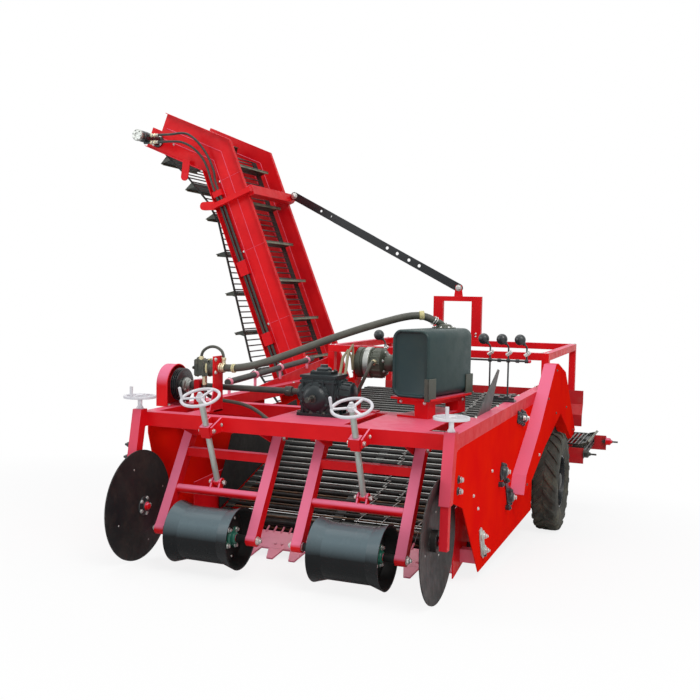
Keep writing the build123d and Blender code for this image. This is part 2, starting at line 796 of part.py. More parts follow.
return_line = [
    elevator_point(110, -275 - foot_drum_radius - belt_gap),
    elevator_point(1131, -646),
    elevator_point(elevator_length - 691, -481),
    elevator_point(elevator_length - 447, -524),
    elevator_point(elevator_length - 117, -650),
    head_point(head_length + 4, -300 - head_drum_radius - belt_gap),
]
with BuildPart() as elevator_return:
    cross_plate_xz(strip(return_line, web_thick), strand_near, 2 * strand_half_width)
    flights(spots_along(return_line, flight_pitch, return_first), 1)
pieces["elevator_web_return"] = elevator_return.part

with BuildPart() as elevator_drums:
    for (x, z), radius in ((head_drum, head_drum_radius), (foot_drum, foot_drum_radius)):
        rod((x, strand_near, z), (x, strand_far, z), radius)
        rod((x, elevator_near_y + elevator_plate, z), (x, elevator_far_y - elevator_plate, z), 20)
pieces["elevator_drums"] = elevator_drums.part

# Idler brackets outside the walls, where the return strand bends, and the block that holds the hoses' ends
head_tongue = elevator_point(elevator_length - 143, -612)
tongue_root = elevator_point(elevator_length + 6, -525)
hose_end_along = elevator_length - 424.5
clamp_deep = 48
hose_clamps = ((hose_end_along - seat_gap, hose_end_along - 62),)
with BuildPart() as elevator_brackets:
    for y in (elevator_near_y - elevator_flange - 10, elevator_far_y + elevator_flange):
        cross_plate_xz(strip([head_tongue, tongue_root], 2 * tongue_radius), y, 10)
        rod((head_tongue[0], y, head_tongue[1]), (head_tongue[0], y + 10, head_tongue[1]), tongue_radius)
    for top, bottom in hose_clamps:
        cross_plate_xz(
            [elevator_point(top, -375), elevator_point(top, -270), elevator_point(bottom, -270),
             elevator_point(bottom, -375)],
            elevator_near_y - clamp_deep, clamp_deep)
pieces["elevator_brackets"] = elevator_brackets.part

motor_flange = 24
motor_body_end = 350
motor_length = 388
motor_port_y = elevator_near_y - 250
port_reach = 170
port_lifts = (12, -58)
with BuildPart() as elevator_motor:
    x, z = head_drum
    rod((x, elevator_near_y, z), (x, elevator_near_y - motor_flange, z), 68)
    rod((x, elevator_near_y - motor_flange, z), (x, elevator_near_y - motor_body_end, z), 50)
    rod((x, elevator_near_y - motor_body_end, z), (x, elevator_near_y - motor_length, z), 58)
    for lift in port_lifts:
        rod((x, motor_port_y, z + lift), (x + port_reach, motor_port_y, z + lift), 16)
pieces["elevator_motor"] = elevator_motor.part

# The motor's two hoses lie in the near wall's channel, from its ports to their block: (X, Y, Z) from the walls' bend
motor_hose_radius = 12
elbow = elevator_point(elevator_length, 0)
hose_bends = (
    (port_lifts[0], -302, [(-550, 3385, 42), (-482, 3420, 58), (-415, 3455, 55), (-344, 3500, 0), (-274, 3540, -93),
                           (-213, 3565, -204), (-168, 3578, -332)]),
    (port_lifts[1], -342, [(-555, 3385, -29), (-475, 3420, -28), (-394, 3460, -60), (-330, 3510, -119),
                           (-279, 3550, -196), (-239, 3572, -299)]),
)
motor_hoses = []
for lift, channel, bends in hose_bends:
    port = (head_drum[0] + port_reach, motor_port_y, head_drum[1] + lift)
    route = [port, (port[0] + 67, port[1], port[2])]
    route += [(elbow[0] + x, y, elbow[1] + z) for x, y, z in bends]
    for along in (hose_end_along + 110, hose_end_along):
        x, z = elevator_point(along, channel)
        route.append((x, bends[-1][1], z))
    motor_hoses.append(hose("motor hose", route, motor_hose_radius))
pieces["motor_hoses"] = Compound(children=motor_hoses)

# ---------------------------------------------------------------- strut
direction = Vector(elevator_pin[0] - portal_pin[0], 0, elevator_pin[1] - portal_pin[1]).normalized()
lower_share = 0.74
with BuildPart() as strut_lower:
    start = Vector(portal_pin[0], strut_y - 7, portal_pin[1])
    end = start + direction * (strut_length * lower_share)
    bar(tuple(start), tuple(end), strut_wide, strut_thick, across=(-direction.Z, 0, direction.X))
    rod((portal_pin[0], strut_y - 12, portal_pin[1]), (portal_pin[0], strut_y - 2, portal_pin[1]), strut_wide / 2)
    rod((portal_pin[0], strut_y - 30, portal_pin[1]), (portal_pin[0], strut_y + 10, portal_pin[1]),
        strut_pin_radius + 0.5, mode=Mode.SUBTRACT)
pieces["strut_lower"] = strut_lower.part

with BuildPart() as strut_upper:
    start = Vector(elevator_pin[0], strut_y + 5.5, elevator_pin[1])
    end = start - direction * (strut_length * (1 - lower_share) + strut_lap)
    bar(tuple(start), tuple(end), strut_wide, strut_thick, across=(-direction.Z, 0, direction.X))
    rod((elevator_pin[0], strut_y + 0.5, elevator_pin[1]), (elevator_pin[0], strut_y + 10.5, elevator_pin[1]),
        strut_wide / 2)
pieces["strut_upper"] = strut_upper.part

# ---------------------------------------------------------------- drive and hydraulics
with BuildPart() as gearbox:
    left = gearbox_x + gearbox_half_wide
    right = gearbox_x - gearbox_half_wide
    front = gearbox_y - gearbox_half_long
    block(right - 20, left + 40, gearbox_y - 105, gearbox_y + 105, 0, gearbox_base)
    block(right, left, front, gearbox_y + gearbox_half_long, gearbox_base, gearbox_top)
    rod((left, gearbox_y, shaft_z), (left + gearbox_cover_reach, gearbox_y, shaft_z), gearbox_cover_radius)
    rod((pto_x, front, pto_z), (pto_x, front - 35, pto_z), gearbox_boss_radius)
    rod((right, shaft_y, shaft_z), (right - 40, shaft_y, shaft_z), gearbox_boss_radius)
    block(gearbox_x - 60, gearbox_x + 60, gearbox_y - 50, gearbox_y + 50, gearbox_top, gearbox_cap_top)
    rod((pto_x, front - 40, pto_z), (pto_x, front + 30, pto_z), pto_journal_radius + bore_clearance,
        mode=Mode.SUBTRACT)
    rod((right - 50, shaft_y, shaft_z), (right + 20, shaft_y, shaft_z), shaft_radius + bore_clearance,
        mode=Mode.SUBTRACT)
pieces["gearbox"] = gearbox.part

with BuildPart() as pto_shaft:
    rod((pto_x, front + 29, pto_z), (pto_x, pto_face_y, pto_z), pto_journal_radius)
    rod((pto_x, pto_face_y, pto_z), (pto_x, pto_face_y - pto_length, pto_z), pto_radius)
pieces["pto_shaft"] = pto_shaft.part

with BuildPart() as cross_shaft:
    rod((right + 19, shaft_y, shaft_z), (pulley_x + 70, shaft_y, shaft_z), shaft_radius)
pieces["cross_shaft"] = cross_shaft.part

with BuildPart() as drive_pulley:
    rod((pulley_x - 22, shaft_y, shaft_z), (pulley_x + 22, shaft_y, shaft_z), pulley_radius)
    rod((pulley_x + 22, shaft_y, shaft_z), (pulley_x + 69.7, shaft_y, shaft_z), 30)
pieces["drive_pulley"] = drive_pulley.part

with BuildPart() as belt_guard:
    for x0, x1, shell in ((guard_outer_x, guard_outer_x + guard_plate, guard_radius),
                          (guard_outer_x + guard_plate, guard_inner_x, guard_plate)):
        with BuildSketch(Plane.YZ.offset(x0)) as section:
            with Locations((shaft_y, shaft_z)):
                Circle(guard_radius)
            with Locations((shaft_y, shaft_z / 2)):
                Rectangle(2 * guard_radius, shaft_z)
            if shell < guard_radius:
                with Locations((shaft_y, shaft_z)):
                    Circle(guard_radius - shell, mode=Mode.SUBTRACT)
                with Locations((shaft_y, shaft_z / 2)):
                    Rectangle(2 * (guard_radius - shell), shaft_z, mode=Mode.SUBTRACT)
        extrude(section.sketch, amount=x1 - x0)
    block(guard_outer_x, guard_inner_x, shaft_y - guard_radius, shaft_y + guard_radius, 0, guard_plate)
pieces["belt_guard"] = belt_guard.part

with BuildPart() as right_pump:
    face = pump_plate_x + pump_plate_thick
    back = pump_y + pump_block / 2
    block(pump_plate_x, face, pump_y - 60, back, -12, 330)
    block(pump_plate_x - 80, face, beam_wide, back, -12, 0)
    rod((pump_plate_x - 40, pump_y, pump_z), (pump_plate_x, pump_y, pump_z), pump_neck_radius)
    block(pump_plate_x - 140, pump_plate_x - 40, pump_y - pump_block / 2, back, pump_z - pump_block / 2,
          pump_z + pump_block / 2)
    rod((face, pump_y, suction_start[2]), suction_start, suction_radius + 5)
    rod((pump_port_x, pump_y, suction_start[2]), (pump_port_x, pump_y, 312), pump_port_radius)
    rod((pump_low_port_x, pump_y, 210), (pump_low_port_x, pump_y, 150), pump_port_radius)
pieces["right_pump"] = right_pump.part

with BuildPart() as centre_pump:
    x, y, z = centre_pump_x, centre_pump_y, centre_pump_z
    block(x - 10, x, y - 60, y + 60, 0, centre_pump_plate_high)
    rod((x, y, z), (x + centre_pump_long, y, z), centre_pump_radius)
    rod((x + centre_pump_long, y, z), (x + centre_pump_long + 50, y, z), centre_pump_neck_radius)
    rod((outlet_x, y - 50, outlet_z), (outlet_x, outlet_y, outlet_z), 15)
pieces["centre_pump"] = centre_pump.part

stand_wide = 210
stand_long = 470
stand_post = 90
stand_tray = 13.7
with BuildPart() as tank_stand:
    with BuildSketch(Plane.XY) as section:
        with Locations(Location((tank_x, tank_y), tank_turn)):
            Rectangle(stand_wide, stand_long)
    extrude(section.sketch, amount=tank_floor - stand_tray - seat_gap)
    with BuildSketch(Plane.XY.offset(tank_floor - stand_tray - seat_gap)) as section:
        with Locations(Location((tank_x, tank_y), tank_turn)):
            Rectangle(tank_wide + 24, tank_long - 30)
    extrude(section.sketch, amount=stand_tray)
    # open between the posts of its outer side
    with BuildSketch(Plane.XY.offset(12)) as section:
        with Locations(Location((tank_x, tank_y), tank_turn)):
            with Locations((-stand_post / 2, 0)):
                Rectangle(stand_wide - stand_post, stand_long)
            Rectangle(stand_wide, stand_long - 2 * stand_post)
    extrude(section.sketch, amount=tank_floor - stand_tray - 40, mode=Mode.SUBTRACT)
pieces["tank_stand"] = tank_stand.part

tank_axis = (-sin(radians(tank_turn)), cos(radians(tank_turn)), 0)
tank_across = (cos(radians(tank_turn)), sin(radians(tank_turn)), 0)
tank_top = tank_floor + tank_high
cap_x = 640
cap_y = 900
cap_high = 22
with BuildPart() as oil_tank:
    middle = (tank_x, tank_y, tank_floor + tank_high / 2)
    with BuildSketch(Plane(origin=middle, x_dir=tank_across, z_dir=tank_axis)) as section:
        Rectangle(tank_wide, tank_high)
        fillet(section.vertices(), 45)
    extrude(section.sketch, amount=tank_long / 2, both=True)
    rod((cap_x, cap_y, tank_top - 1), (cap_x, cap_y, tank_top + cap_high), 45)
    rod((cap_x, cap_y, tank_top + 10), suction_end, suction_radius + 2)
pieces["oil_tank"] = oil_tank.part

# Upright levers on a bracket from the left rail, joined by one long link; the knobs lean to the machine's right
lever_y = 1600
lever_top_z = 380
lever_knob_z = 427
lever_knob_radius = 38
lever_knob_out = 48
lever_link_z = 282
lever_bracket_top = 40
knob_turn = degrees(atan2(-lever_knob_out, lever_knob_z - lever_top_z))  # each ball's pole lies on its rod
with BuildPart() as control_levers:
    block(half_width - 225, half_width - 15, lever_y - 40, lever_y + 40, 0, lever_bracket_top)
    for x, foot_z in ((half_width - 197, lever_bracket_top - 5), (half_width - 70, lever_bracket_top - 5),
                      (half_width + 55, lever_link_z), (half_width - 967, lever_link_z)):
        rod((x, lever_y, foot_z), (x, lever_y, lever_top_z), 6)
        with Locations((x, lever_y, lever_top_z)):
            Sphere(6)
        rod((x, lever_y, lever_top_z), (x - lever_knob_out, lever_y, lever_knob_z), 6)
        with Locations((x - lever_knob_out, lever_y, lever_knob_z)):
            Sphere(lever_knob_radius, rotation=(0, knob_turn, 0))
    rod((half_width - 985, lever_y, lever_link_z), (half_width + 75, lever_y, lever_link_z), 7)
pieces["control_levers"] = control_levers.part

with BuildPart() as divider_plate:
    side_plate([(740, 0), (1100, 0), (1340, 235), (1300, 245)], half_width - 78, 6)
pieces["divider_plate"] = divider_plate.part

# Pipes along the right rail's board and the suction hose from the tank's cap to the right pump
bundle_x = 15 - half_width
with BuildPart() as pipe_bundle:
    for row, lift in enumerate((0, 34)):
        rod((bundle_x, 1020, 105 + lift), (bundle_x, 2470, 245 + lift), 13)
    for y, z in ((1120, 0), (1900, 45), (2420, 96)):
        share = (y - 1020) / 1450
        block(bundle_x - 9, bundle_x + 15, y - 12, y + 12, z, 160 + 140 * share)
pieces["pipe_bundle"] = pipe_bundle.part

suction_route = [suction_start, (-480, 300, 258), (-350, 385, 290), (-190, 490, 358), (-20, 570, 432), (145, 650, 497),
                 (310, 725, 553), (440, 780, 592), (538, 820.1, 598), suction_end]
pieces["suction_hose"] = hose("suction_hose", suction_route, suction_radius)

loop_radius = 9
loop_route = [(-735, 300, 305), (-735, 300, 338), (-708, 300, 370), (-662, 300, 388), (-615, 300, 380),
              (pump_port_x, pump_y, 348), (pump_port_x, pump_y, 312)]
pieces["pump_loop_hose"] = hose("pump_loop_hose", loop_route, loop_radius)

small_hose_radius = 11
low_route = [(pump_low_port_x, pump_y, 150), (pump_low_port_x, pump_y, 112), (-700, 325, 75), (-660, 372, 50),
             (-590, 385, 42), (-500, 385, 34),
             (-410, 390, 5), (-330, 400, -50), (-250, 415, -110), (-165, 430, -142), (-95, 435, -146), (-40, 435, -146)]
pieces["low_hose"] = hose("low_hose", low_route, small_hose_radius)

sleeve_route = [(outlet_x, outlet_y, outlet_z), (outlet_x, outlet_y - 30, outlet_z), (280, 535, 272), (257, 535, 220), (228, 542, 165), (198, 553, 112),
                (170, 563, 76), (155, 565, 45), (155, 565, 14)]
pieces["sleeve_hose"] = hose("sleeve_hose", sleeve_route, small_hose_radius)

# ---------------------------------------------------------------- left-hand drive cover
case_outline = [
    (2640, 190), (2760, 190), (3170, 90), (3860, -495), (3620, -540), (2960, -235), (2200, -400), (1730, -545),
    (1430, -600), (1500, -480), (1980, -235),
]
with BuildPart() as chain_case:
    side_plate(case_outline, half_width, 95)
pieces["chain_case"] = chain_case.part

with BuildPart() as chain_tensioner:
    for y, z, r in ((1260, -420, 45), (1330, -520, 30)):
        rod((half_width, y, z), (half_width + 60, y, z), r)
    for y, z in ((1780, -130), (620, -720)):
        rod((half_width, y, z), (half_width + 35, y, z), 45)
pieces["chain_tensioner"] = chain_tensioner.part

# ---------------------------------------------------------------- parking attitude
tip_to_wheel = hypot(wheel_y - share_tip_y, wheel_z - share_tip_z)
parking_pitch = degrees(asin(tyre_radius / tip_to_wheel) - atan2(wheel_z - share_tip_z, wheel_y - share_tip_y))
parked = {name: Rot(parking_pitch, 0, 0) * piece for name, piece in pieces.items()}
corners = [piece.bounding_box() for piece in parked.values()]
centre_x = (min(box.min.X for box in corners) + max(box.max.X for box in corners)) / 2
centre_y = (min(box.min.Y for box in corners) + max(box.max.Y for box in corners)) / 2
floor_z = min(box.min.Z for box in corners)
placing = Pos(-centre_x, -centre_y, -floor_z) * Rot(parking_pitch, 0, 0)

for name, piece in pieces.items():
    placed = placing * piece
    placed.label = name
    export_step(placed, f"parts/{name}.step")
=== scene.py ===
from itertools import product
from math import atan2, cos, degrees, pi, radians, sin

import bmesh
import bpy
from mathutils import Matrix, Vector


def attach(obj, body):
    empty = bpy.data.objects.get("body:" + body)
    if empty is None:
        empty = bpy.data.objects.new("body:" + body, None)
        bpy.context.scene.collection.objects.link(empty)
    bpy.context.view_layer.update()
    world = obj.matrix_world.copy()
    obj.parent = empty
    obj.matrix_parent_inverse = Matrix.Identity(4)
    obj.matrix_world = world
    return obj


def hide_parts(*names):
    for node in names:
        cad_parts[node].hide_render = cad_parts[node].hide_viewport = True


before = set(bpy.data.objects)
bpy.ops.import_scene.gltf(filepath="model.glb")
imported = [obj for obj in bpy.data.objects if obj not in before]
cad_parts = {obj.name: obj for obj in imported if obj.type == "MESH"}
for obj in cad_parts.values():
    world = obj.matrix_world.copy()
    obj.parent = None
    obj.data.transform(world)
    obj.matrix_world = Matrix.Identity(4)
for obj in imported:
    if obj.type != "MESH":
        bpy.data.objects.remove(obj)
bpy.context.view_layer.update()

# The machine frame of the CAD, in millimetres: X to the machine's left, Y to the rear from the front beam's face,
# Z up from the beam's top. MACHINE takes it to the row frame, with the parked machine's nose down.
MACHINE = (
    Matrix.Translation((1.0037155, -2.1110192, 0.8842473))
    @ Matrix.Rotation(radians(5.1522913), 4, "X")
    @ Matrix.Scale(0.001, 4)
)
LEFT, RIGHT, REAR, FRONT, UP, DOWN = (1, 0, 0), (-1, 0, 0), (0, 1, 0), (0, -1, 0), (0, 0, 1), (0, 0, -1)
SIDES = (("left", 1), ("right", -1))


def vec(*spot):
    return Vector(spot)


def added(name, data):
    made = bpy.data.objects.new(name, data)
    bpy.context.scene.collection.objects.link(made)
    return made


# ------------ camera
camera = added("camera", bpy.data.cameras.new("camera"))
camera.location = (3.17503, -6.68644, 1.21379)
camera.rotation_euler = [radians(a) for a in (91.0566, -2.8644, 21.5757)]
camera.data.lens = 46.377
camera.data.sensor_width = 36
camera.data.clip_end = 200
bpy.context.scene.camera = camera


# ------------ materials
class Nodes:
    """A node tree in the making. A value is a number, a colour, a vector or another node's output."""

    def __init__(self, owner):
        owner.use_nodes = True
        self.tree = owner.node_tree

    def feed(self, socket, value):
        if isinstance(value, bpy.types.NodeSocket):
            self.tree.links.new(value, socket)
        else:
            socket.default_value = (*value, 1) if socket.type == "RGBA" else value

    def feed_all(self, node, values):
        for name, value in values.items():
            self.feed(node.inputs[name], value)

    def add(self, kind, output, values=None, **settings):
        made = self.tree.nodes.new("ShaderNode" + kind)
        for name, value in settings.items():
            setattr(made, name, value)
        self.feed_all(made, values or {})
        return made.outputs[output]

    def noise(self, place, scale, detail=4.0, rough=0.55):
        return self.add("TexNoise", "Fac", {"Vector": place, "Scale": scale, "Detail": detail, "Roughness": rough})

    def ramp(self, value, low, high, start=0.0, end=1.0):
        ends = {"From Min": low, "From Max": high, "To Min": start, "To Max": end}
        return self.add("MapRange", "Result", {"Value": value, **ends})

    def patches(self, place, scale, detail, rough, low, high, share):
        """A patchy layer: share of it shows where the noise is above high, and none below low."""
        return self.ramp(self.noise(place, scale, detail, rough), low, high, 0.0, share)

    def mix(self, share, first, second):
        return self.add("Mix", "Result", {"Factor": share, "A": first, "B": second}, data_type="RGBA")

    def sums(self, operation, first, second):
        return self.add("Math", "Value", {0: first, 1: second}, operation=operation)

    def dot(self, first, second):
        return self.add("VectorMath", "Value", {0: first, 1: second}, operation="DOT_PRODUCT")

    def surface(self, end, share, first, second):
        blend = self.add("MixShader", "Shader", {"Fac": share, 1: first, 2: second})
        self.feed(self.tree.nodes[end].inputs["Surface"], blend)


# painted sky reflection: a pink for red paint, and the direction and width of the blend on faces that look up and
# forward
DUST, SKY_REFLECTION_ON_RED, RUST = (0.33, 0.27, 0.2), (0.84, 0.22, 0.36), (0.17, 0.06, 0.025)
REFLECTION_DIRECTION, REFLECTION_WIDTH, EDGE_RADIUS = (0, -0.66, 0.75), 0.32, 0.004


def finish_of(name, colour, shade, rough, grain, depth, metallic=0.0, coat=0.0, coat_rough=0.1, blotch=3.5, rust=0.0,
              specular=0.5, dust=DUST, dusty=0.0, worn=None, painted_sky_reflection=0.0, reflection_colour=SKY_REFLECTION_ON_RED, reflection_from=0.6):
    """A finish with colour drift, dust in broad patches, worn edges, uneven gloss and a fine surface grain.

    worn is the bare colour at the edges and how much of it shows. The sky reflection's share is how far the faces that
    look up and
    forward turn to its colour: a painted reflection of the sky, baked into the colour.
    """
    made = bpy.data.materials.new(name)
    nodes = Nodes(made)
    place = nodes.add("TexCoord", "Object")
    face = nodes.add("NewGeometry", "Normal")
    tint = nodes.mix(nodes.ramp(nodes.noise(place, blotch), 0.35, 0.65), colour, shade)
    if dusty:
        tint = nodes.mix(nodes.patches(place, 9.0, 8.0, 0.65, 0.48, 0.74, dusty), tint, dust)
    if rust:
        tint = nodes.mix(nodes.patches(place, 26.0, 8.0, 0.7, 0.58, 0.68, rust), tint, RUST)
    # painted sky reflection: faces that look up and forward turn towards the reflected sky's colour
    if painted_sky_reflection:
        sky_facing = nodes.dot(face, REFLECTION_DIRECTION)
        tint = nodes.mix(nodes.ramp(sky_facing, reflection_from, reflection_from + REFLECTION_WIDTH, 0.0, painted_sky_reflection), tint, reflection_colour)
    rounded = nodes.add("Bevel", "Normal", {"Radius": EDGE_RADIUS}, samples=4)
    if worn:
        edge = nodes.ramp(nodes.dot(rounded, face), 0.985, 0.86)
        broken = nodes.patches(place, 38.0, 5.0, 0.6, 0.42, 0.66, worn[3])
        tint = nodes.mix(nodes.sums("MULTIPLY", edge, broken), tint, worn[:3])
    smear = nodes.ramp(nodes.noise(place, 14.0, 5.0, 0.6), 0.3, 0.7, rough * 0.8, min(1.0, rough * 1.3))
    bump = nodes.add("Bump", "Normal", {
        "Strength": 0.5, "Distance": depth, "Height": nodes.noise(place, grain, 6.0, 0.6), "Normal": rounded})
    nodes.feed_all(nodes.tree.nodes["Principled BSDF"], {
        "Base Color": tint, "Roughness": smear, "Normal": bump, "Metallic": metallic, "Specular IOR Level": specular,
        "Coat Weight": coat, "Coat Roughness": coat_rough})
    return made


# on the red paints, the pink on faces that look up and forward is a painted reflection of the sky
red = finish_of("red paint", (0.78, 0.008, 0.012), (0.66, 0.004, 0.01), 0.42, 120, 0.00008, coat=0.05,
    coat_rough=0.22, specular=0.12, worn=(0.84, 0.16, 0.2, 0.45), painted_sky_reflection=0.85)
# a brighter, more orange copy of the red paint for the side panels and the chain case: painted sunlight
sunlit_red_paint = finish_of("red paint with painted sunlight", (0.86, 0.014, 0.005), (0.8, 0.008, 0.006), 0.6, 120, 0.00001,
    specular=0.0, worn=(0.86, 0.14, 0.12, 0.45), painted_sky_reflection=0.8)
# a darker copy of the red paint, with a little dust, for the low parts at the back
red_dull = finish_of("darker red paint", (0.54, 0.006, 0.01), (0.42, 0.005, 0.01), 0.46, 90, 0.0002, coat=0.06,
    coat_rough=0.3, specular=0.4, dusty=0.1, worn=(0.5, 0.16, 0.16, 0.5))
share_paint = finish_of("share paint", (0.86, 0.18, 0.28), (0.86, 0.27, 0.4), 0.36, 70, 0.0004, coat=0.2,
    coat_rough=0.25, rust=0.15, worn=(0.62, 0.4, 0.42, 0.8))
black = finish_of("black gloss paint", (0.008, 0.01, 0.012), (0.012, 0.015, 0.018), 0.24, 50, 0.0004, coat=0.35,
    coat_rough=0.08, specular=0.4, worn=(0.14, 0.15, 0.15, 0.6))
# the blue-grey band on the rollers' upper faces is a painted reflection of the sky
roller_black = finish_of("roller paint", (0.005, 0.006, 0.007), (0.008, 0.009, 0.01), 0.24, 50, 0.0002, coat=0.1,
    coat_rough=0.08, specular=0.12, worn=(0.12, 0.13, 0.14, 0.4), painted_sky_reflection=0.9, reflection_colour=(0.13, 0.18, 0.2),
    reflection_from=0.62)
flat_black = finish_of("flat black paint", (0.006, 0.007, 0.007), (0.01, 0.011, 0.011), 0.55, 90, 0.0004,
    specular=0.25, dust=(0.05, 0.045, 0.04), dusty=0.3)
disc_black = finish_of("disc paint", (0.007, 0.007, 0.008), (0.016, 0.014, 0.013), 0.5, 60, 0.0004, specular=0.3,
    dust=(0.07, 0.045, 0.035), dusty=0.4, worn=(0.3, 0.28, 0.27, 0.7))
cast = finish_of("black casting", (0.01, 0.014, 0.016), (0.02, 0.028, 0.031), 0.34, 130, 0.0014, coat=0.2,
    coat_rough=0.2, worn=(0.09, 0.12, 0.13, 0.6))
gear_cast = finish_of("gearbox casting", (0.004, 0.008, 0.01), (0.01, 0.017, 0.02), 0.36, 130, 0.0014, coat=0.15,
    coat_rough=0.2, specular=0.35, worn=(0.09, 0.14, 0.14, 0.6))
pump_cast = finish_of("pump casting", (0.035, 0.042, 0.036), (0.07, 0.075, 0.06), 0.38, 150, 0.0012, metallic=0.3,
    coat=0.1, dust=(0.36, 0.34, 0.2), dusty=0.3, worn=(0.4, 0.4, 0.36, 0.7))
silver_cast = finish_of("silver casting", (0.36, 0.38, 0.36), (0.52, 0.53, 0.5), 0.36, 160, 0.0012, metallic=0.75,
    dust=(0.16, 0.17, 0.13), dusty=0.45, worn=(0.8, 0.8, 0.78, 0.5))
olive_cast = finish_of("olive casting", (0.045, 0.052, 0.04), (0.085, 0.095, 0.07), 0.4, 150, 0.001, metallic=0.2,
    coat=0.1, worn=(0.42, 0.42, 0.36, 0.6))
brass = finish_of("passivated fitting", (0.62, 0.53, 0.3), (0.72, 0.68, 0.5), 0.3, 200, 0.0003, metallic=0.85,
    dusty=0.15)
zinc = finish_of("galvanised steel", (0.42, 0.48, 0.44), (0.56, 0.62, 0.58), 0.38, 45, 0.0003, metallic=0.5,
    dusty=0.12, worn=(0.7, 0.73, 0.7, 0.4))
bolt_steel = finish_of("plated bolts", (0.56, 0.57, 0.55), (0.72, 0.72, 0.7), 0.3, 160, 0.0003, metallic=0.85,
    dusty=0.2)
dark_steel = finish_of("dark steel", (0.028, 0.031, 0.031), (0.055, 0.058, 0.053), 0.4, 120, 0.0006, metallic=0.5,
    dusty=0.15, worn=(0.26, 0.26, 0.22, 0.8))
flight_steel = finish_of("flight steel", (0.022, 0.028, 0.024), (0.045, 0.052, 0.042), 0.42, 120, 0.0006,
    metallic=0.3, dust=(0.16, 0.16, 0.1), dusty=0.35, worn=(0.42, 0.42, 0.33, 0.9))
flight_lip = finish_of("worn flight edge", (0.1, 0.105, 0.065), (0.2, 0.2, 0.13), 0.42, 90, 0.0005, metallic=0.4,
    blotch=9, dusty=0.3)
rod_steel = finish_of("web rods", (0.035, 0.042, 0.042), (0.15, 0.16, 0.155), 0.34, 150, 0.0004, metallic=0.6,
    blotch=5.0, dust=(0.2, 0.15, 0.09), dusty=0.25)
bright_rod = finish_of("worn web rods", (0.28, 0.29, 0.28), (0.46, 0.47, 0.45), 0.36, 150, 0.0004, metallic=0.6,
    blotch=5.0, dust=(0.24, 0.2, 0.15), dusty=0.25)
rust_rod = finish_of("rusty web rods", (0.16, 0.085, 0.035), (0.045, 0.04, 0.035), 0.5, 110, 0.0008, metallic=0.3,
    blotch=6.0, rust=0.4, dust=(0.36, 0.22, 0.11), dusty=0.5)
pale_rod = finish_of("elevator rods", (0.045, 0.048, 0.046), (0.12, 0.11, 0.105), 0.36, 150, 0.0004, metallic=0.6,
    dust=(0.16, 0.1, 0.08), dusty=0.3)
white_paint = finish_of("white paint", (0.72, 0.71, 0.74), (0.64, 0.63, 0.68), 0.34, 110, 0.0002, coat=0.3,
    coat_rough=0.15, dust=(0.5, 0.48, 0.46), dusty=0.12, worn=(0.5, 0.5, 0.5, 0.4))
green_cast = finish_of("bearing housing", (0.006, 0.075, 0.05), (0.015, 0.14, 0.095), 0.36, 120, 0.001, coat=0.3,
    coat_rough=0.2, worn=(0.45, 0.55, 0.5, 0.7))
tyre_rubber = finish_of("tyre rubber", (0.04, 0.04, 0.03), (0.024, 0.024, 0.02), 0.8, 160, 0.0012,
    dust=(0.16, 0.15, 0.1), dusty=0.6, worn=(0.17, 0.16, 0.11, 0.8))
hose_rubber = finish_of("hose rubber", (0.055, 0.058, 0.046), (0.085, 0.085, 0.068), 0.5, 260, 0.0008,
    dust=(0.22, 0.21, 0.17), dusty=0.25)
dark_rubber = finish_of("motor hose rubber", (0.014, 0.016, 0.014), (0.03, 0.032, 0.027), 0.42, 260, 0.0006,
    dust=(0.14, 0.14, 0.11), dusty=0.25)
belt_rubber = finish_of("black rubber", (0.01, 0.011, 0.011), (0.018, 0.019, 0.018), 0.6, 200, 0.001, specular=0.3,
    dust=(0.08, 0.075, 0.06), dusty=0.3)
tank_plastic = finish_of("tank plastic", (0.018, 0.044, 0.05), (0.026, 0.05, 0.048), 0.42, 220, 0.0005, coat=0.05,
    coat_rough=0.3, blotch=2.0, specular=0.25, dust=(0.05, 0.075, 0.06), dusty=0.25)
tan_hose = finish_of("tan hose", (0.34, 0.3, 0.18), (0.24, 0.21, 0.13), 0.55, 200, 0.0006, dusty=0.2)
sleeve_yellow = finish_of("yellow sleeve", (0.6, 0.54, 0.24), (0.7, 0.66, 0.4), 0.5, 150, 0.0006, dusty=0.15)

NODE_FINISHES = (
    (red, "front_beam front_legs roller_frame_left roller_frame_right screw_trunnion_left screw_trunnion_right "
          "chassis_rails rear_upper_frame strut_portal elevator_walls elevator_collar elevator_brackets belt_guard "
          "tank_stand rear_posts"),
    (sunlit_red_paint, "side_panels chain_case"),
    (red_dull, "rear_board lower_rear_rails axle cross_conveyor_frame"),
    (share_paint, "shares"),
    (black, "rim_left rim_right"),
    (roller_black, "roller_left roller_right"),
    (dark_rubber, "motor_hoses"),
    (disc_black, "coulter_left coulter_right"),
    (dark_steel, "web_drums cross_conveyor_drums elevator_drums divider_plate cross_shaft"),
    (belt_rubber, "side_curtains"),
)
for finish, names in NODE_FINISHES:
    for name in names.split():
        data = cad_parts[name].data
        data.materials.clear()
        data.materials.append(finish)


# ------------ hoses, as free cords
def cord(name, diameter, route):
    """A hose on a smooth line through the CAD route, given in machine metres."""
    points = [MACHINE @ (Vector(spot) * 1000) for spot in route]
    data = bpy.data.curves.new(name, "CURVE")
    data.dimensions = "3D"
    line = data.splines.new("NURBS")
    line.points.add(len(points) - 1)
    for spot, point in zip(points, line.points):
        point.co = (*spot, 1)
    line.order_u = 3
    line.use_endpoint_u = True
    line.resolution_u = 10
    data.bevel_depth = diameter / 2
    data.bevel_resolution = 6
    data.use_fill_caps = True
    data.materials.append(hose_rubber)
    piece = added(name + "_line", data)
    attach(piece, "chassis")
    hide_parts(name)


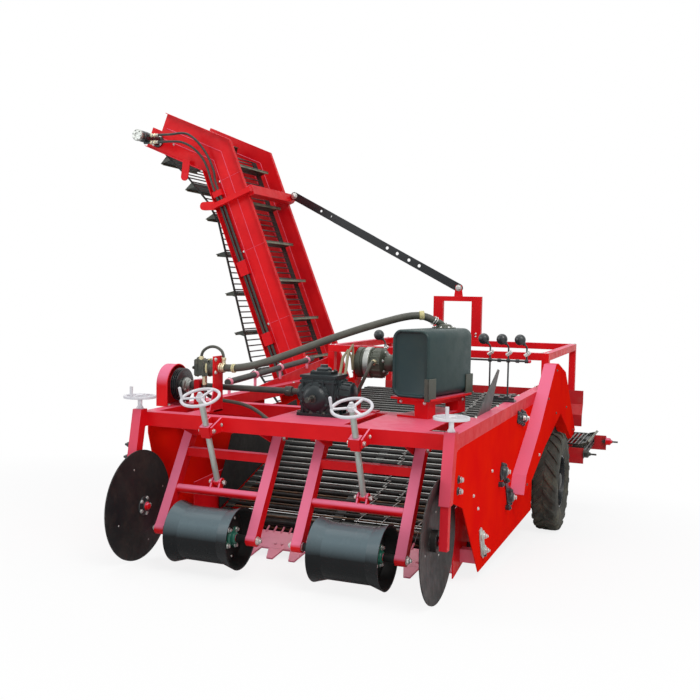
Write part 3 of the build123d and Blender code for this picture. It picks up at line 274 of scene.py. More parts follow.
cord("suction_hose", 0.046, [
    (-0.56, 0.3, 0.258), (-0.48, 0.3, 0.258), (-0.35, 0.385, 0.29), (-0.19, 0.49, 0.358),
    (-0.02, 0.57, 0.432), (0.145, 0.65, 0.497), (0.31, 0.725, 0.553), (0.44, 0.78, 0.592),
    (0.538, 0.8201, 0.598), (0.58, 0.853, 0.57)])
cord("pump_loop_hose", 0.018, [
    (-0.735, 0.3, 0.305), (-0.735, 0.3, 0.338), (-0.708, 0.3, 0.37), (-0.662, 0.3, 0.388),
    (-0.615, 0.3, 0.38), (-0.578, 0.3, 0.348), (-0.578, 0.3, 0.312)])
cord("low_hose", 0.022, [
    (-0.71, 0.3, 0.15), (-0.71, 0.3, 0.112), (-0.7, 0.325, 0.075), (-0.66, 0.372, 0.05),
    (-0.59, 0.385, 0.042), (-0.5, 0.385, 0.034), (-0.41, 0.39, 0.005), (-0.33, 0.4, -0.05),
    (-0.25, 0.415, -0.11), (-0.165, 0.43, -0.142), (-0.095, 0.435, -0.146), (-0.04, 0.435, -0.146)])
cord("sleeve_hose", 0.022, [
    (0.29, 0.585, 0.31), (0.29, 0.555, 0.31), (0.28, 0.535, 0.272), (0.257, 0.535, 0.22),
    (0.228, 0.542, 0.165), (0.198, 0.553, 0.112), (0.17, 0.563, 0.076), (0.155, 0.565, 0.045),
    (0.155, 0.565, 0.014)])


# ------------ mesh building, in machine millimetres
def square_to(axis):
    """Two unit vectors square to an axis and to each other."""
    first = axis.orthogonal().normalized()
    return first, axis.cross(first)


def turned(centre, first, second, radius, count, start=0.0):
    """Points on a circle, from first towards second."""
    angles = (start + 2 * pi * step / count for step in range(count))
    return [centre + radius * (cos(a) * first + sin(a) * second) for a in angles]


def spokes(count, start=0.0):
    """Unit vectors fanned round the machine's X axis."""
    return turned(Vector(), Vector(REAR), Vector(UP), 1, count, start)


def bends(route):
    """A line's points, each with the directions into it and away from it."""
    spots = [Vector(spot) for spot in route]
    runs = [(last - first).normalized() for first, last in zip(spots, spots[1:])]
    return zip(spots, runs[:1] + runs, runs + runs[-1:])


def grid(*sides):
    """Every point with one coordinate from each side; a plain number stands for itself."""
    return product(*(side if isinstance(side, tuple) else (side,) for side in sides))


class Shape:
    """Solids gathered into one mesh. mat is the place of a solid's finish in the piece's materials."""

    def __init__(self):
        self.bm = bmesh.new()

    def fill(self, faces, mat):
        for corners in faces:
            self.bm.faces.new(corners).material_index = mat

    def paint(self, made, mat):
        for face in {face for vert in made["verts"] for face in vert.link_faces}:
            face.material_index = mat

    def skin(self, rings, mat=0, caps=True, closed=False):
        """Faces from each ring of points to the next; a ring of one point is a tip."""
        rings = [[self.bm.verts.new(spot) for spot in ring] for ring in rings]
        faces = []
        for low, high in zip(rings, rings[1:] + rings[:1] if closed else rings[1:]):
            sides = max(len(low), len(high))
            for step in range(sides):
                after = (step + 1) % sides
                corners = (low[step % len(low)], low[after % len(low)], high[after % len(high)], high[step % len(high)])
                faces.append(list(dict.fromkeys(corners)))
        if caps:
            faces += [rings[0][::-1], rings[-1]]
        self.fill((corners for corners in faces if len(corners) > 2), mat)

    def box(self, x0, x1, y0, y1, z0, z1, mat=0):
        middle = Matrix.Translation(((x0 + x1) / 2, (y0 + y1) / 2, (z0 + z1) / 2))
        size = Matrix.Diagonal((abs(x1 - x0), abs(y1 - y0), abs(z1 - z0), 1))
        self.paint(bmesh.ops.create_cube(self.bm, size=1, matrix=middle @ size), mat)

    def block(self, centre, half_x, half_y, z0, z1):
        x, y = centre
        self.box(x - half_x, x + half_x, y - half_y, y + half_y, z0, z1)

    def bar(self, start, end, width, depth, across=LEFT, mat=0):
        """A rectangular bar: width measured along across, depth square to it and to the run."""
        start, end, across = Vector(start), Vector(end), Vector(across)
        run = end - start
        along = run.normalized()
        side = (across - across.dot(along) * along).normalized()
        turn = Matrix((side, along.cross(side), along)).transposed().to_4x4()
        place = Matrix.Translation((start + end) / 2) @ turn @ Matrix.Diagonal((width, depth, run.length, 1))
        self.paint(bmesh.ops.create_cube(self.bm, size=1, matrix=place), mat)

    def tube(self, start, end, radius, far_radius=None, sides=24, mat=0):
        start, end = Vector(start), Vector(end)
        run = end - start
        place = Matrix.Translation((start + end) / 2) @ run.to_track_quat("Z", "Y").to_matrix().to_4x4()
        far_radius = radius if far_radius is None else far_radius
        self.paint(bmesh.ops.create_cone(self.bm, cap_ends=True, segments=sides, radius1=radius, radius2=far_radius,
                                         depth=run.length, matrix=place), mat)

    def nut(self, spot, axis, across=24, high=14, mat=0, washer=True, stud=0):
        """A hexagon head standing on spot along axis, with a washer and perhaps a stud's end."""
        spot, axis = Vector(spot), Vector(axis).normalized()
        start, neck = spot - axis * 2, spot + axis * high * 0.82
        if washer:
            self.tube(start, spot + axis * 2.5, across * 0.72, sides=20, mat=mat)
            start = spot
        self.tube(start, neck, across * 0.577, sides=6, mat=mat)
        self.tube(neck, spot + axis * high, across * 0.577, across * 0.46, sides=6, mat=mat)
        if stud:
            self.tube(spot, spot + axis * (high + stud), across * 0.3, sides=14, mat=mat)

    def nuts(self, spots, *how, **more):
        for spot in spots:
            self.nut(spot, *how, **more)

    def ring_of_nuts(self, centre, axis, radius, count, across, high, turn=0.0, mat=0):
        axis = Vector(axis).normalized()
        self.nuts(turned(Vector(centre), *square_to(axis), radius, count, turn), axis, across, high, mat)

    def lathe(self, centre, axis, profile, sides=48, mat=0, closed=False):
        """Turns (radius, along) points about an axis through centre; a radius of 0 closes to the axis."""
        centre, axis = Vector(centre), Vector(axis).normalized()
        first, second = square_to(axis)
        self.skin([turned(centre + axis * along, first, second, radius, sides if radius else 1)
                   for radius, along in profile], mat, caps=False, closed=closed)

    def torus(self, centre, axis, major, minor, sides=48, around=12, mat=0):
        angles = [2 * pi * step / around for step in range(around)]
        self.lathe(centre, axis, [(major + minor * cos(a), minor * sin(a)) for a in angles], sides, mat, True)

    def ball(self, centre, radius, mat=0, squash=(1, 1, 1)):
        place = Matrix.Translation(centre) @ Matrix.Diagonal((*squash, 1))
        self.paint(bmesh.ops.create_uvsphere(self.bm, u_segments=24, v_segments=14, radius=radius, matrix=place), mat)

    def plate(self, outline, axis, start, thick, mat=0):
        """A plate square to a machine axis: outline in the other two axes, from start for thick."""
        here = "xyz".index(axis)
        self.skin([[(*spot[:here], along, *spot[here:]) for spot in map(tuple, outline)]
                   for along in (start, start + thick)], mat)

    def punched_bar(self, start, run, across, length, holes, radius, thick=10, half=42.5, steps=16):
        """A flat bar from start along the unit run, square to the unit across, with round ends and real holes."""
        back = run.cross(across).normalized() * thick

        def spot(reach, side, deep):
            return self.bm.verts.new(start + run * reach + across * side + back * (deep - 0.5))

        def ring(centre, first_turn, count, reach):
            turns = [first_turn + 2 * pi * step / steps for step in range(count)]
            return [(centre + reach * cos(a), reach * sin(a)) for a in turns]

        faces = []
        edges = [0.0, *(hole + side for hole in holes for side in (-half, half)), length]
        rims = [[spot(reach, side, deep) for deep in (0, 1) for side in (-half, half)] for reach in edges]
        for here, (low, high) in enumerate(zip(rims, rims[1:])):
            faces += [(low[0], high[0], high[2], low[2]), (low[1], low[3], high[3], high[1])]
            if here % 2 == 0:
                faces += [(low[0], low[1], high[1], high[0]), (low[2], high[2], high[3], low[3])]
                continue
            walls = [[spot(a, b, deep) for a, b in ring(holes[here // 2], pi / 4, steps, radius)]
                     for deep in (0, 1)]
            for deep, wall in enumerate(walls):
                corners = [high[2 * deep + 1], low[2 * deep + 1], low[2 * deep], high[2 * deep]]
                for side in range(4):
                    quarter = [wall[(side * steps // 4 + step) % steps] for step in range(steps // 4 + 1)]
                    faces.append((corners[side], corners[(side + 1) % 4], *quarter[::-1]))
            for step in range(steps):
                after = (step + 1) % steps
                faces.append((walls[0][step], walls[0][after], walls[1][after], walls[1][step]))
        for rim, centre, turn in ((rims[0], 0, pi / 2), (rims[-1], length, -pi / 2)):
            caps = [[spot(a, b, deep) for a, b in ring(centre, turn, steps // 2 + 1, half)[1:-1]] for deep in (0, 1)]
            first, last = (1, 0) if turn > 0 else (0, 1)
            front, rear = loops = [[rim[2 * deep + first], *caps[deep], rim[2 * deep + last]] for deep in (0, 1)]
            faces += loops
            faces += zip(front, front[1:], rear[1:], rear)
        self.fill(faces, 0)

    def pipe(self, route, radius, sides=14, mat=0):
        """A round pipe through points, with mitred rings."""
        rings, side = [], None
        for spot, into, away in bends(route):
            along = (into + away).normalized()
            side = along.orthogonal() if side is None else side - side.dot(along) * along
            side.normalize()
            rings.append(turned(spot, side, along.cross(side), radius, sides))
        self.skin(rings, mat)

    def make(self, name, body, slot, materials, replaces=(), bevel=0.0, sharp=35):
        bmesh.ops.recalc_face_normals(self.bm, faces=self.bm.faces)
        self.bm.transform(MACHINE)
        data = bpy.data.meshes.new(name)
        self.bm.to_mesh(data)
        self.bm.free()
        for finish in materials:
            data.materials.append(finish)
        data.shade_smooth()
        data.set_sharp_from_angle(angle=radians(sharp))
        piece = added(name, data)
        if bevel:
            rounding = piece.modifiers.new("edges", "BEVEL")
            rounding.width = bevel / 1000
            rounding.segments = 2
            rounding.limit_method = "ANGLE"
            rounding.angle_limit = radians(40)
            rounding.harden_normals = True
        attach(piece, body)
        if replaces:
            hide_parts(*replaces)


def beside(points, distance):
    """A line of 2-D points moved sideways, positive to its left, with mitred corners."""
    moved = []
    for point, into, away in bends(points):
        mid = (into + away).normalized()
        moved.append(point + vec(-mid.y, mid.x) * (distance / mid.dot(into)))
    return moved


def strip(points, thickness):
    return beside(points, thickness / 2) + beside(points, -thickness / 2)[::-1]


def spots_along(points, pitch, start=None):
    """Every pitch along a line of 2-D points: place and direction."""
    spots, reach = [], pitch / 2 if start is None else start
    for first, last in zip(points, points[1:]):
        run = Vector(last) - Vector(first)
        unit = run.normalized()
        while reach < run.length:
            spots.append((Vector(first) + unit * reach, unit))
            reach += pitch
        reach -= run.length
    return spots


def around(centre, radius, first_degrees, last_degrees, steps=10):
    """Points on an arc of a 2-D circle."""
    turns = [radians(first_degrees + (last_degrees - first_degrees) * step / steps) for step in range(steps + 1)]
    return [(centre[0] + radius * cos(a), centre[1] + radius * sin(a)) for a in turns]


def polar(turn):
    return vec(cos(radians(turn)), sin(radians(turn)))


def at_y(y, *points):
    """Points of the machine's side-to-side section, at y."""
    return [(x, y, z) for x, z in points]


# ------------ digging web: hooked rods between three belts
WEB_FRONT, WEB_MIDDLE, WEB_REAR = vec(760, -790), vec(1960, -395), vec(3440, -230)
WEB_GAP, WEB_HALF, ROD_PITCH, RUSTY_UP_TO = 64, 820, 40, 1010
gap = vec(0, WEB_GAP)
front_slope, rear_slope = (degrees(atan2(run.y, run.x))
                           for run in (WEB_MIDDLE - WEB_FRONT, WEB_REAR - WEB_MIDDLE))
web_line = [
    WEB_FRONT + gap, WEB_MIDDLE + gap, *around(WEB_REAR, WEB_GAP, 90 + rear_slope, -90 + rear_slope),
    WEB_MIDDLE - gap, *around(WEB_FRONT, WEB_GAP, -90 + front_slope, -270 + front_slope)]
web = Shape()
for here, (spot, _) in enumerate(spots_along(web_line, ROD_PITCH)):
    # bare steel rods, and between them thick black rods: their black is painted shade, filling the gaps between the
    # bright rods
    radius, mat = (14, 1) if here % 2 else (6.5, 2 if spot.x < RUSTY_UP_TO else 0)
    web.tube((-WEB_HALF, *spot), (WEB_HALF, *spot), radius, sides=12, mat=mat)
for x in (-WEB_HALF, WEB_HALF - 60, -30):
    web.plate(strip(web_line, 9), "x", x, 60, mat=1)
# thin chains lying over the rods, with a hook at every other rod
for x in (170, 330, 560):
    for here, (spot, unit) in enumerate(spots_along(web_line, 2 * ROD_PITCH)):
        near = spot + vec(-unit.y, unit.x) * 11
        far = near + unit * 2 * ROD_PITCH
        sway = x + 12 * sin(here * 1.7)
        web.pipe([(sway - 14, *near), (sway + 14, *far), (sway - 14, *far)], 3.5, sides=6)
web.make("digging_web_rods", "chassis", "web_steel", [bright_rod, belt_rubber, rust_rod],
         ["digging_web_top", "digging_web_bottom"])

# ------------ elevator, on the CAD's geometry
ELEVATOR_FOOT, ELEVATOR_ANGLE, HEAD_ANGLE, ELEVATOR_LONG = vec(-1180, -800), 68.2, 22, 3285
NEAR_Y, FAR_Y, STRAND_NEAR, STRAND_FAR = 3614, 4486, 3695, 4405
STRAND_WIDE, HEAD_RADIUS, FOOT_RADIUS, HEAD_END = STRAND_FAR - STRAND_NEAR, 77.3, 95.3, 814
up, head_up = polar(180 - ELEVATOR_ANGLE), polar(180 - HEAD_ANGLE)
out, head_out = (vec(run.y, -run.x) for run in (up, head_up))
knee = ELEVATOR_FOOT + ELEVATOR_LONG * up


def wall(along, offset):
    return ELEVATOR_FOOT + along * up + offset * out


def corner(offset):
    return knee + offset / (1 + up.dot(head_up)) * (out + head_out)


def head(along, offset):
    return knee + along * head_up + offset * head_out


def flight(shape, foot, unit, stand, high, thick, lip, heel, gussets, mat):
    """A flight across the strands, with its worn lip and its end gussets."""
    tip = foot + stand * high
    edge = tip - stand * lip[0]
    shape.plate(strip([foot, tip], thick), "y", STRAND_NEAR, STRAND_WIDE, mat)
    shape.plate(strip([edge, edge - unit * lip[1]], thick), "y", STRAND_NEAR + 8, STRAND_WIDE - 16, mat + 1)
    for y in gussets:
        shape.plate([foot, tip, foot - unit * heel], "y", y, 6, mat)


HEAD_DRUM, FOOT_DRUM = head(HEAD_END, -300), wall(110, -275)
carrying = [wall(110, FOOT_RADIUS - 275), wall(500, -170), corner(-170), head(HEAD_END, HEAD_RADIUS - 300)]
returning = [wall(110, -275 - FOOT_RADIUS), wall(1131, -646), wall(ELEVATOR_LONG - 691, -481),
             wall(ELEVATOR_LONG - 447, -524), wall(ELEVATOR_LONG - 117, -650), head(HEAD_END, -300 - HEAD_RADIUS)]
rods = Shape()
for x, z in (
    *(spot for line in (carrying, returning) for spot, _ in spots_along(line, 60, 10)),
    *around(HEAD_DRUM, HEAD_RADIUS, 90 - HEAD_ANGLE, 270 - HEAD_ANGLE, 4),
    *around(FOOT_DRUM, FOOT_RADIUS, 90 - ELEVATOR_ANGLE, -90 - ELEVATOR_ANGLE, 4),
):
    rods.tube((x, STRAND_NEAR, z), (x, STRAND_FAR, z), 7, sides=10)
rods.make("elevator_rods", "elevator", "web_steel", [pale_rod])

belts = Shape()
for line, first, outward, gussets in ((carrying, 435, -1, (STRAND_NEAR,)),
                                      (returning, 113, 1, (STRAND_NEAR, STRAND_FAR - 6))):
    for y, wide in ((STRAND_NEAR, 26), (STRAND_FAR - 90, 90)):
        belts.plate(strip(line, 13), "y", y, wide)
    for spot, unit in spots_along(line, 420, first):
        stand = vec(-unit.y, unit.x) * outward
        flight(belts, spot, unit, stand, 110, 7, (8, 24), 62, gussets, 1)
        for y in (STRAND_NEAR + 120, STRAND_FAR - 120):
            belts.nuts(at_y(y, spot + stand * 30 - unit * 4), (-unit.x, 0, -unit.y), 14, 8, mat=1)
belts.make("elevator_belts_and_flights", "elevator", "web_steel", [belt_rubber, flight_steel, flight_lip],
           ["elevator_web_carrying", "elevator_web_return"], bevel=1.2)

# The collar's cross piece is a wide flat box, over the CAD's tube
COLLAR = ELEVATOR_LONG - 570
box = Shape()
box.bar(*at_y((NEAR_Y + FAR_Y) / 2, wall(COLLAR - 52, 30), wall(COLLAR + 52, 30)), FAR_Y - NEAR_Y + 66, 68, across=REAR)
box.make("collar_box", "elevator", "red_paint", [red], bevel=4)

# Pressed ribs, seams and bolts on the walls
ribs = Shape()
for y, side in ((NEAR_Y, -1), (FAR_Y, 1)):
    for offset in (-150, -262):
        ribs.pipe(at_y(y - side * 3, wall(180, offset), corner(offset), head(760, offset)), 7, sides=10)
    for along in (620, 1396, 2177, 2946):
        ribs.pipe(at_y(y - side * 1.5, wall(along, -8), wall(along, -392)), 3, sides=8)
        ribs.nuts(at_y(y, wall(along, -272)), (0, side, 0), 18, 8, mat=1)
    ribs.nuts(at_y(y, head(260, -272), head(620, -272)), (0, side, 0), 15, 8, mat=1)
ribs.make("elevator_ribs", "elevator", "red_paint", [red, bolt_steel])

# The oil lines carry on from the hoses' block down the near wall's channel, behind the collar and under the straps
LINE_FOOT, LINE_TOP, LINE_Y = 640, ELEVATOR_LONG - 486.5, 3592
pipes = Shape()
for offset, top_y in ((-302, 3578), (-342, 3572)):
    lower = at_y(LINE_Y, wall(LINE_FOOT, offset), wall(LINE_TOP - 60, offset))
    pipes.pipe(lower + at_y(top_y, wall(LINE_TOP, offset)), 14, sides=18)
    pipes.tube(lower[0], *at_y(NEAR_Y, wall(LINE_FOOT, offset)), 18, sides=24, mat=3)
for low, high in ((1940, 2091), (1190, 1318), (600, 690)):
    for near, far, thick in ((-378, -268, 6), (-378, -372, 44), (-274, -268, 44)):
        outline = [wall(low, near), wall(high, near), wall(high, far), wall(low, far)]
        pipes.plate(outline, "y", NEAR_Y - 44, thick, mat=1)
pipes.make("elevator_oil_pipes", "elevator", "hose_rubber", [dark_rubber, red, bolt_steel, brass], bevel=0.8)

# ------------ cross conveyor: rods, belts and low flights
CROSS_START, CROSS_TAIL, CROSS_RADIUS = vec(-1270, -672.5), (1110, -672.5), 72.5
cross_line = [CROSS_START + vec(0, CROSS_RADIUS), *around(CROSS_TAIL, CROSS_RADIUS, 90, -90),
              *around(CROSS_START, CROSS_RADIUS, -90, -270)]
cross = Shape()
for (x, z), _ in spots_along(cross_line, 36):
    cross.tube((x, STRAND_NEAR, z), (x, STRAND_FAR, z), 7, sides=12)
for y in (STRAND_NEAR, STRAND_FAR - 40, 4030):
    cross.plate(strip(cross_line, 10), "y", y, 40, mat=1)
for spot, unit in spots_along(cross_line, 300, 43):
    flight(cross, spot, unit, vec(-unit.y, unit.x), 78, 6, (5, 18), 46, (STRAND_NEAR, STRAND_FAR - 6), 2)
cross.make("cross_conveyor_rods", "chassis", "web_steel", [rod_steel, belt_rubber, flight_steel, flight_lip],
           ["cross_conveyor_web"])

# ------------ tyres with lugs
LUGS, LUG_LEAN = 21, 0.003
HALF_CARCASS = [(205, 72), (212, 84), (240, 95), (285, 99.5), (330, 96), (356, 88), (372, 72), (376, 40)]
# a lug's reach from the tyre's middle, its top's radius and its foot's
CROWN = [(5, 390, 376), (34, 390, 375), (62, 388.5, 372), (84, 381, 362), (96, 362, 348)]
for name, side in SIDES:
    tyre = Shape()
    centre, outward = vec(side * 1050, 2670, -737), vec(side, 0, 0)
    tyre.lathe(centre, LEFT, [(r, -a) for r, a in HALF_CARCASS] + [(377, 0)] + HALF_CARCASS[::-1], 96, closed=True)
    for radius, bulge in ((250, 95), (262, 97.5), (318, 95.5)):
        for face in (-bulge, bulge):
            tyre.torus(centre + vec(face, 0, 0), LEFT, radius, 2.2, 96, 6)
    for step in range(LUGS * 2):
        face = 1 if step % 2 else -1
        rings = []
        for reach, top, foot in CROWN:
            turn = pi * step / LUGS + side * LUG_LEAN * reach
            half_top, half_foot = 15 / top, 22 / foot
            corners = ((foot - 4, turn - half_foot), (top, turn - half_top), (top, turn + half_top),
                       (foot - 4, turn + half_foot))
            rings.append([centre + Vector((face * reach, r * cos(a), r * sin(a))) for r, a in corners])
        tyre.skin(rings)
    tyre.make(f"tread_tyre_{name}", f"wheel_{name}", "tyre_rubber", [tyre_rubber], [f"tyre_{name}"], bevel=2.5,
              sharp=30)
    hub = Shape()
    hub.ring_of_nuts(centre + outward * 15, outward, 100, 6, 24, 18)
    hub.lathe(centre + outward * 60, outward, [(62, -2), (62, 12), (52, 18), (30, 22), (0, 24)], 40, 1)
    hub.make(f"hub_{name}", f"wheel_{name}", "black_paint", [bolt_steel, dark_steel], bevel=0.8)

# ------------ depth screws, hand wheels and crank wheels
# a roller frame's middle and its screw, out from the machine's middle, and the frame's arms, out from its own
FRAME_X, SCREW_X, ARM_X = 436, 456, 297
for name, side in SIDES:
    clevis, wheel, across = vec(side * SCREW_X, 27, -385), vec(side * SCREW_X, -171, 131), Vector(LEFT)
    axis = (wheel - clevis).normalized()
    screw = Shape()
    screw.tube(clevis + axis * 12, wheel - axis * 10, 17, sides=32)
    for reach in (270, 282, 412, 424):
        screw.torus(clevis + axis * reach, axis, 15.3, 2.1, 32, 8)
    for turn in range(22):
        screw.torus(clevis + axis * (150 + turn * 4.6), axis, 16.1, 1.3, 28, 6)
    screw.tube(clevis - across * 18, clevis + across * 18, 21, sides=28, mat=1)
    screw.tube(clevis - across * 42, clevis + across * 42, 10, mat=2)
    for face in (-across, across):
        screw.nut(clevis + face * 42, face, 22, 12, mat=2)
    screw.make(f"screw_column_{name}", f"depth_screw_{name}", "zinc", [zinc, red, bolt_steel], [f"depth_screw_{name}"],
               bevel=0.8)
    rim = Shape()
    rim.torus(wheel, axis, 107, 9, 64, 14)
    first, second = square_to(axis)
    for arm in turned(Vector(), first, second, 1, 3, radians(30)):
        rim.bar(wheel + arm * 12, wheel + arm * 102, 15, 9, across=axis.cross(arm))
    rim.lathe(wheel, axis, [(0, -16), (24, -16), (26, -4), (24, 10), (17, 14), (17, 20), (0, 20)], 32)
    rim.nut(wheel + axis * 20, axis, 22, 12, washer=False)
    grip, = turned(wheel, first, second, 107, 1, radians(150))
    rim.tube(grip - axis * 4, grip + axis * 66, 7, 9, 18)
    rim.ball(grip + axis * 66, 9)
    rim.make(f"hand_wheel_{name}", f"depth_screw_{name}", "zinc", [white_paint], bevel=1.5)

# A crank wheel lies flat over each front post
for name, side in SIDES:
    crank = Shape()
    post = vec(side * 955, -30, 0)
    crank.lathe(post, UP, [(96.4, 84.6), (96.4, 99.4), (95.4, 101.2), (79.6, 101.2), (78.4, 99.4), (78.4, 84.6)], 64,
                closed=True)
    middle = post + vec(0, 0, 93)
    for reach in (vec(78, 0, 0), vec(0, 78, 0)):
        crank.bar(middle - reach, middle + reach, 19, 16.4, across=(-reach.y, reach.x, 0))
    crank.lathe(post + vec(0, 0, 20), UP, [(0, 0), (22, 0), (20, 10), (13.5, 20), (13.5, 56), (27, 62), (27, 84),
                                                (20, 88), (0, 88)], 32)
    crank.tube(post + vec(0, -87, 92), post + vec(0, -87, 161.5), 9.4, 9.8, 18)
    crank.make(f"crank_wheel_{name}", "chassis", "red_paint", [white_paint], bevel=1.5)

# ------------ gearbox casting
GEAR, GEAR_TOP, SHAFT_Y, SHAFT_Z, PTO_X, PTO_Z = (50, 400), 262, 380, 130, 30, 105
GEAR_LEFT = vec(GEAR[0] + 110, GEAR[1], SHAFT_Z)
gear = Shape()
gear.box(-80, 200, 295, 505, 0, 18)
for half_x, half_y, low, high in ((108, 88, 16, 232), (116, 96, 60, 75), (116, 96, 196, 211), (116, 96, 226, 242),
                                  (66, 56, 240, GEAR_TOP)):
    gear.block(GEAR, half_x, half_y, low, high)
for x in (-96, -32, 34, 98):
    gear.block((GEAR[0] + x, GEAR[1]), 6, 101, 18, 214)
for y in (-62, 0, 62):
    gear.block((GEAR[0], GEAR[1] + y), 121, 6, 18, 214)
gear.lathe((*GEAR, GEAR_TOP), UP, [(46, 0), (46, 14), (36, 22), (24, 24), (22, 38), (0, 38)], 36)
gear.lathe((PTO_X, 310, PTO_Z), FRONT, [(94, -8), (94, 9), (76, 13), (66, 26), (46, 35), (24.2, 35), (24.2, 6)], 44)
gear.lathe((-60, SHAFT_Y, SHAFT_Z), RIGHT, [
    (76, -4), (76, 10), (60, 14), (54, 32), (38, 40), (19.2, 40), (19.2, 4)], 44)
gear.lathe(GEAR_LEFT, LEFT, [(84, -4), (84, 12), (72, 18), (66, 78), (52, 88), (0, 90)], 44)
for arm in spokes(12):
    start = GEAR_LEFT + arm * 62 + vec(8, 0, 0)
    gear.bar(start, start + vec(64, 0, 0), 7, 26, across=(0, -arm.z, arm.y))
gear.nuts(grid((-68, 10, 90, 178), (306, 494), 18), UP, 20, 12, mat=1)
gear.nuts(grid((-2, 102), (356, 444), GEAR_TOP), UP, 14, 8, mat=1)
gear.ring_of_nuts((PTO_X, 302, PTO_Z), FRONT, 84, 8, 14, 8, 0.3)
gear.ring_of_nuts((-70, SHAFT_Y, SHAFT_Z), RIGHT, 67, 6, 16, 9, 0.3)
gear.ring_of_nuts(GEAR_LEFT + vec(12, 0, 0), LEFT, 77, 8, 14, 8, 0.2)
gear.make("gearbox_casting", "chassis", "cast_black", [gear_cast, dark_steel], ["gearbox"], bevel=3.5)

# Splined drive shaft: two of every four points on the tooth's top
shaft = Shape()
turns = [radians(15 * step + 7.5) for step in range(24)]
radii = [17.5 if step % 4 < 2 else 14.4 for step in range(24)]
shaft.plate([(PTO_X + r * cos(a), PTO_Z + r * sin(a)) for r, a in zip(radii, turns)], "y", 197, 78)
shaft.tube((PTO_X, 272, PTO_Z), (PTO_X, 339, PTO_Z), 24, sides=36)
shaft.torus((PTO_X, 214, PTO_Z), REAR, 15.6, 2.0, 36, 8)
shaft.make("pto_splines", "pto_shaft", "zinc", [dark_steel], ["pto_shaft"], bevel=0.5)

# ------------ cross drive: pulley with its belts
PULLEY = vec(-922, SHAFT_Y, SHAFT_Z)
pulley = Shape()
grooves = [(radius, groove + along) for groove in (-14, 0, 14)
           for radius, along in ((105, -6.5), (94, -2), (94, 2), (105, 6.5))]
pulley.lathe(PULLEY, LEFT, [(34, -22), (96, -22), *grooves, (96, 22), (34, 22)], 56, closed=True)
pulley.lathe(PULLEY, LEFT, [(19, -18), (34, -18), (34, 22), (46, 24), (46, 38), (30, 44), (30, 70), (19, 70)], 36, 1)
pulley.ring_of_nuts(PULLEY + vec(38, 0, 0), LEFT, 38, 4, 12, 8, mat=1)
pulley.make("belt_pulley", "drive_shaft", "black_paint", [black, silver_cast], ["drive_pulley"], bevel=1.0)
sleeve = Shape()
for x in (-170, -820):
    sleeve.lathe((x, SHAFT_Y, SHAFT_Z), LEFT, [(19, -22), (29, -22), (31, 0), (29, 22), (19, 22)], 32)
sleeve.nut((-170, SHAFT_Y - 30, SHAFT_Z), FRONT, 12, 7)
sleeve.make("shaft_collars", "drive_shaft", "zinc", [dark_steel], bevel=1.0)
guard = Shape()
arch = [(SHAFT_Y - 128, 4), *around((SHAFT_Y, SHAFT_Z), 126, 180, 0, 20), (SHAFT_Y + 128, 4)]
guard.pipe([(-954, *spot) for spot in arch], 5.5, sides=10)
guard.nuts(grid(-962, (SHAFT_Y - 90, SHAFT_Y + 90), 4), UP, 16, 9, mat=1)
guard.make("belt_guard_edge", "chassis", "red_paint", [red, bolt_steel])

# Small tan hoses loop up behind the gearbox, from its rear to the centre pump's bracket
loops = Shape()
for s in (0, 34):
    loops.pipe([(96 + s, 505, 205), (96 + s, 545, 250), (92 + s, 590, 330 + s), (112 + s, 615, 375 + s),
                (136 + s / 4, 628, 330), (142, 634, 255)], 9, sides=12)
loops.make("gearbox_hoses", "chassis", "hose_rubber", [tan_hose], sharp=70)

# ------------ pumps on their brackets
PUMP_Y, PUMP_Z, PORT_Z = 300, 255, 258
bracket = Shape()
bracket.box(-620, -610, 240, 350, -12, 330)
bracket.box(-700, -610, 80, 350, -12, 0)
bracket.plate([(240, 0), (200, 0), (240, 120)], "x", -619, 8)
bracket.nuts(grid(-610, (258, 342), (230, 310)), LEFT, 17, 9, mat=1)
bracket.make("right_pump_bracket", "chassis", "red_paint", [red, bolt_steel], bevel=1.5)
pump = Shape()
pump.lathe((-620, PUMP_Y, PUMP_Z), RIGHT, [(0, 0), (62, 0), (62, 14), (50, 20), (48, 42)], 40)
for x0, x1, half_y, half_z in ((-758, -662, 48, 48), (-748, -734, 54, 53), (-700, -688, 54, 53)):
    pump.box(x0, x1, PUMP_Y - half_y, PUMP_Y + half_y, PUMP_Z - half_z, PUMP_Z + half_z)
pump.lathe((-758, PUMP_Y, PUMP_Z), RIGHT, [(40, -4), (38, 4), (0, 6)], 32)
pump.ring_of_nuts((-758, PUMP_Y, PUMP_Z), RIGHT, 52, 4, 14, 8, pi / 4)
for start, end, radius in (((-610, PORT_Z), (-566, PORT_Z), 27), ((-735, 300), (-735, 312), 17),
                           ((-710, 214), (-710, 146), 15), ((-578, PORT_Z), (-578, 306), 13)):
    pump.tube(*at_y(PUMP_Y, start, end), radius, sides=28, mat=1)
for x in (-600, -584, -572):
    pump.torus((x, PUMP_Y, PORT_Z), LEFT, 27, 3.5, 32, 8, mat=1)
for x, z, axis in ((-735, 308, UP), (-710, 160, DOWN), (-578, 306, UP)):
    pump.nut((x, PUMP_Y, z), axis, 28, 15, mat=1, washer=False)
pump.torus((-672, PUMP_Y, PUMP_Z), LEFT, 51, 6, 36, 8, mat=2)
pump.make("right_pump_body", "chassis", "cast_black", [pump_cast, brass, sleeve_yellow], ["right_pump"], bevel=2.0)

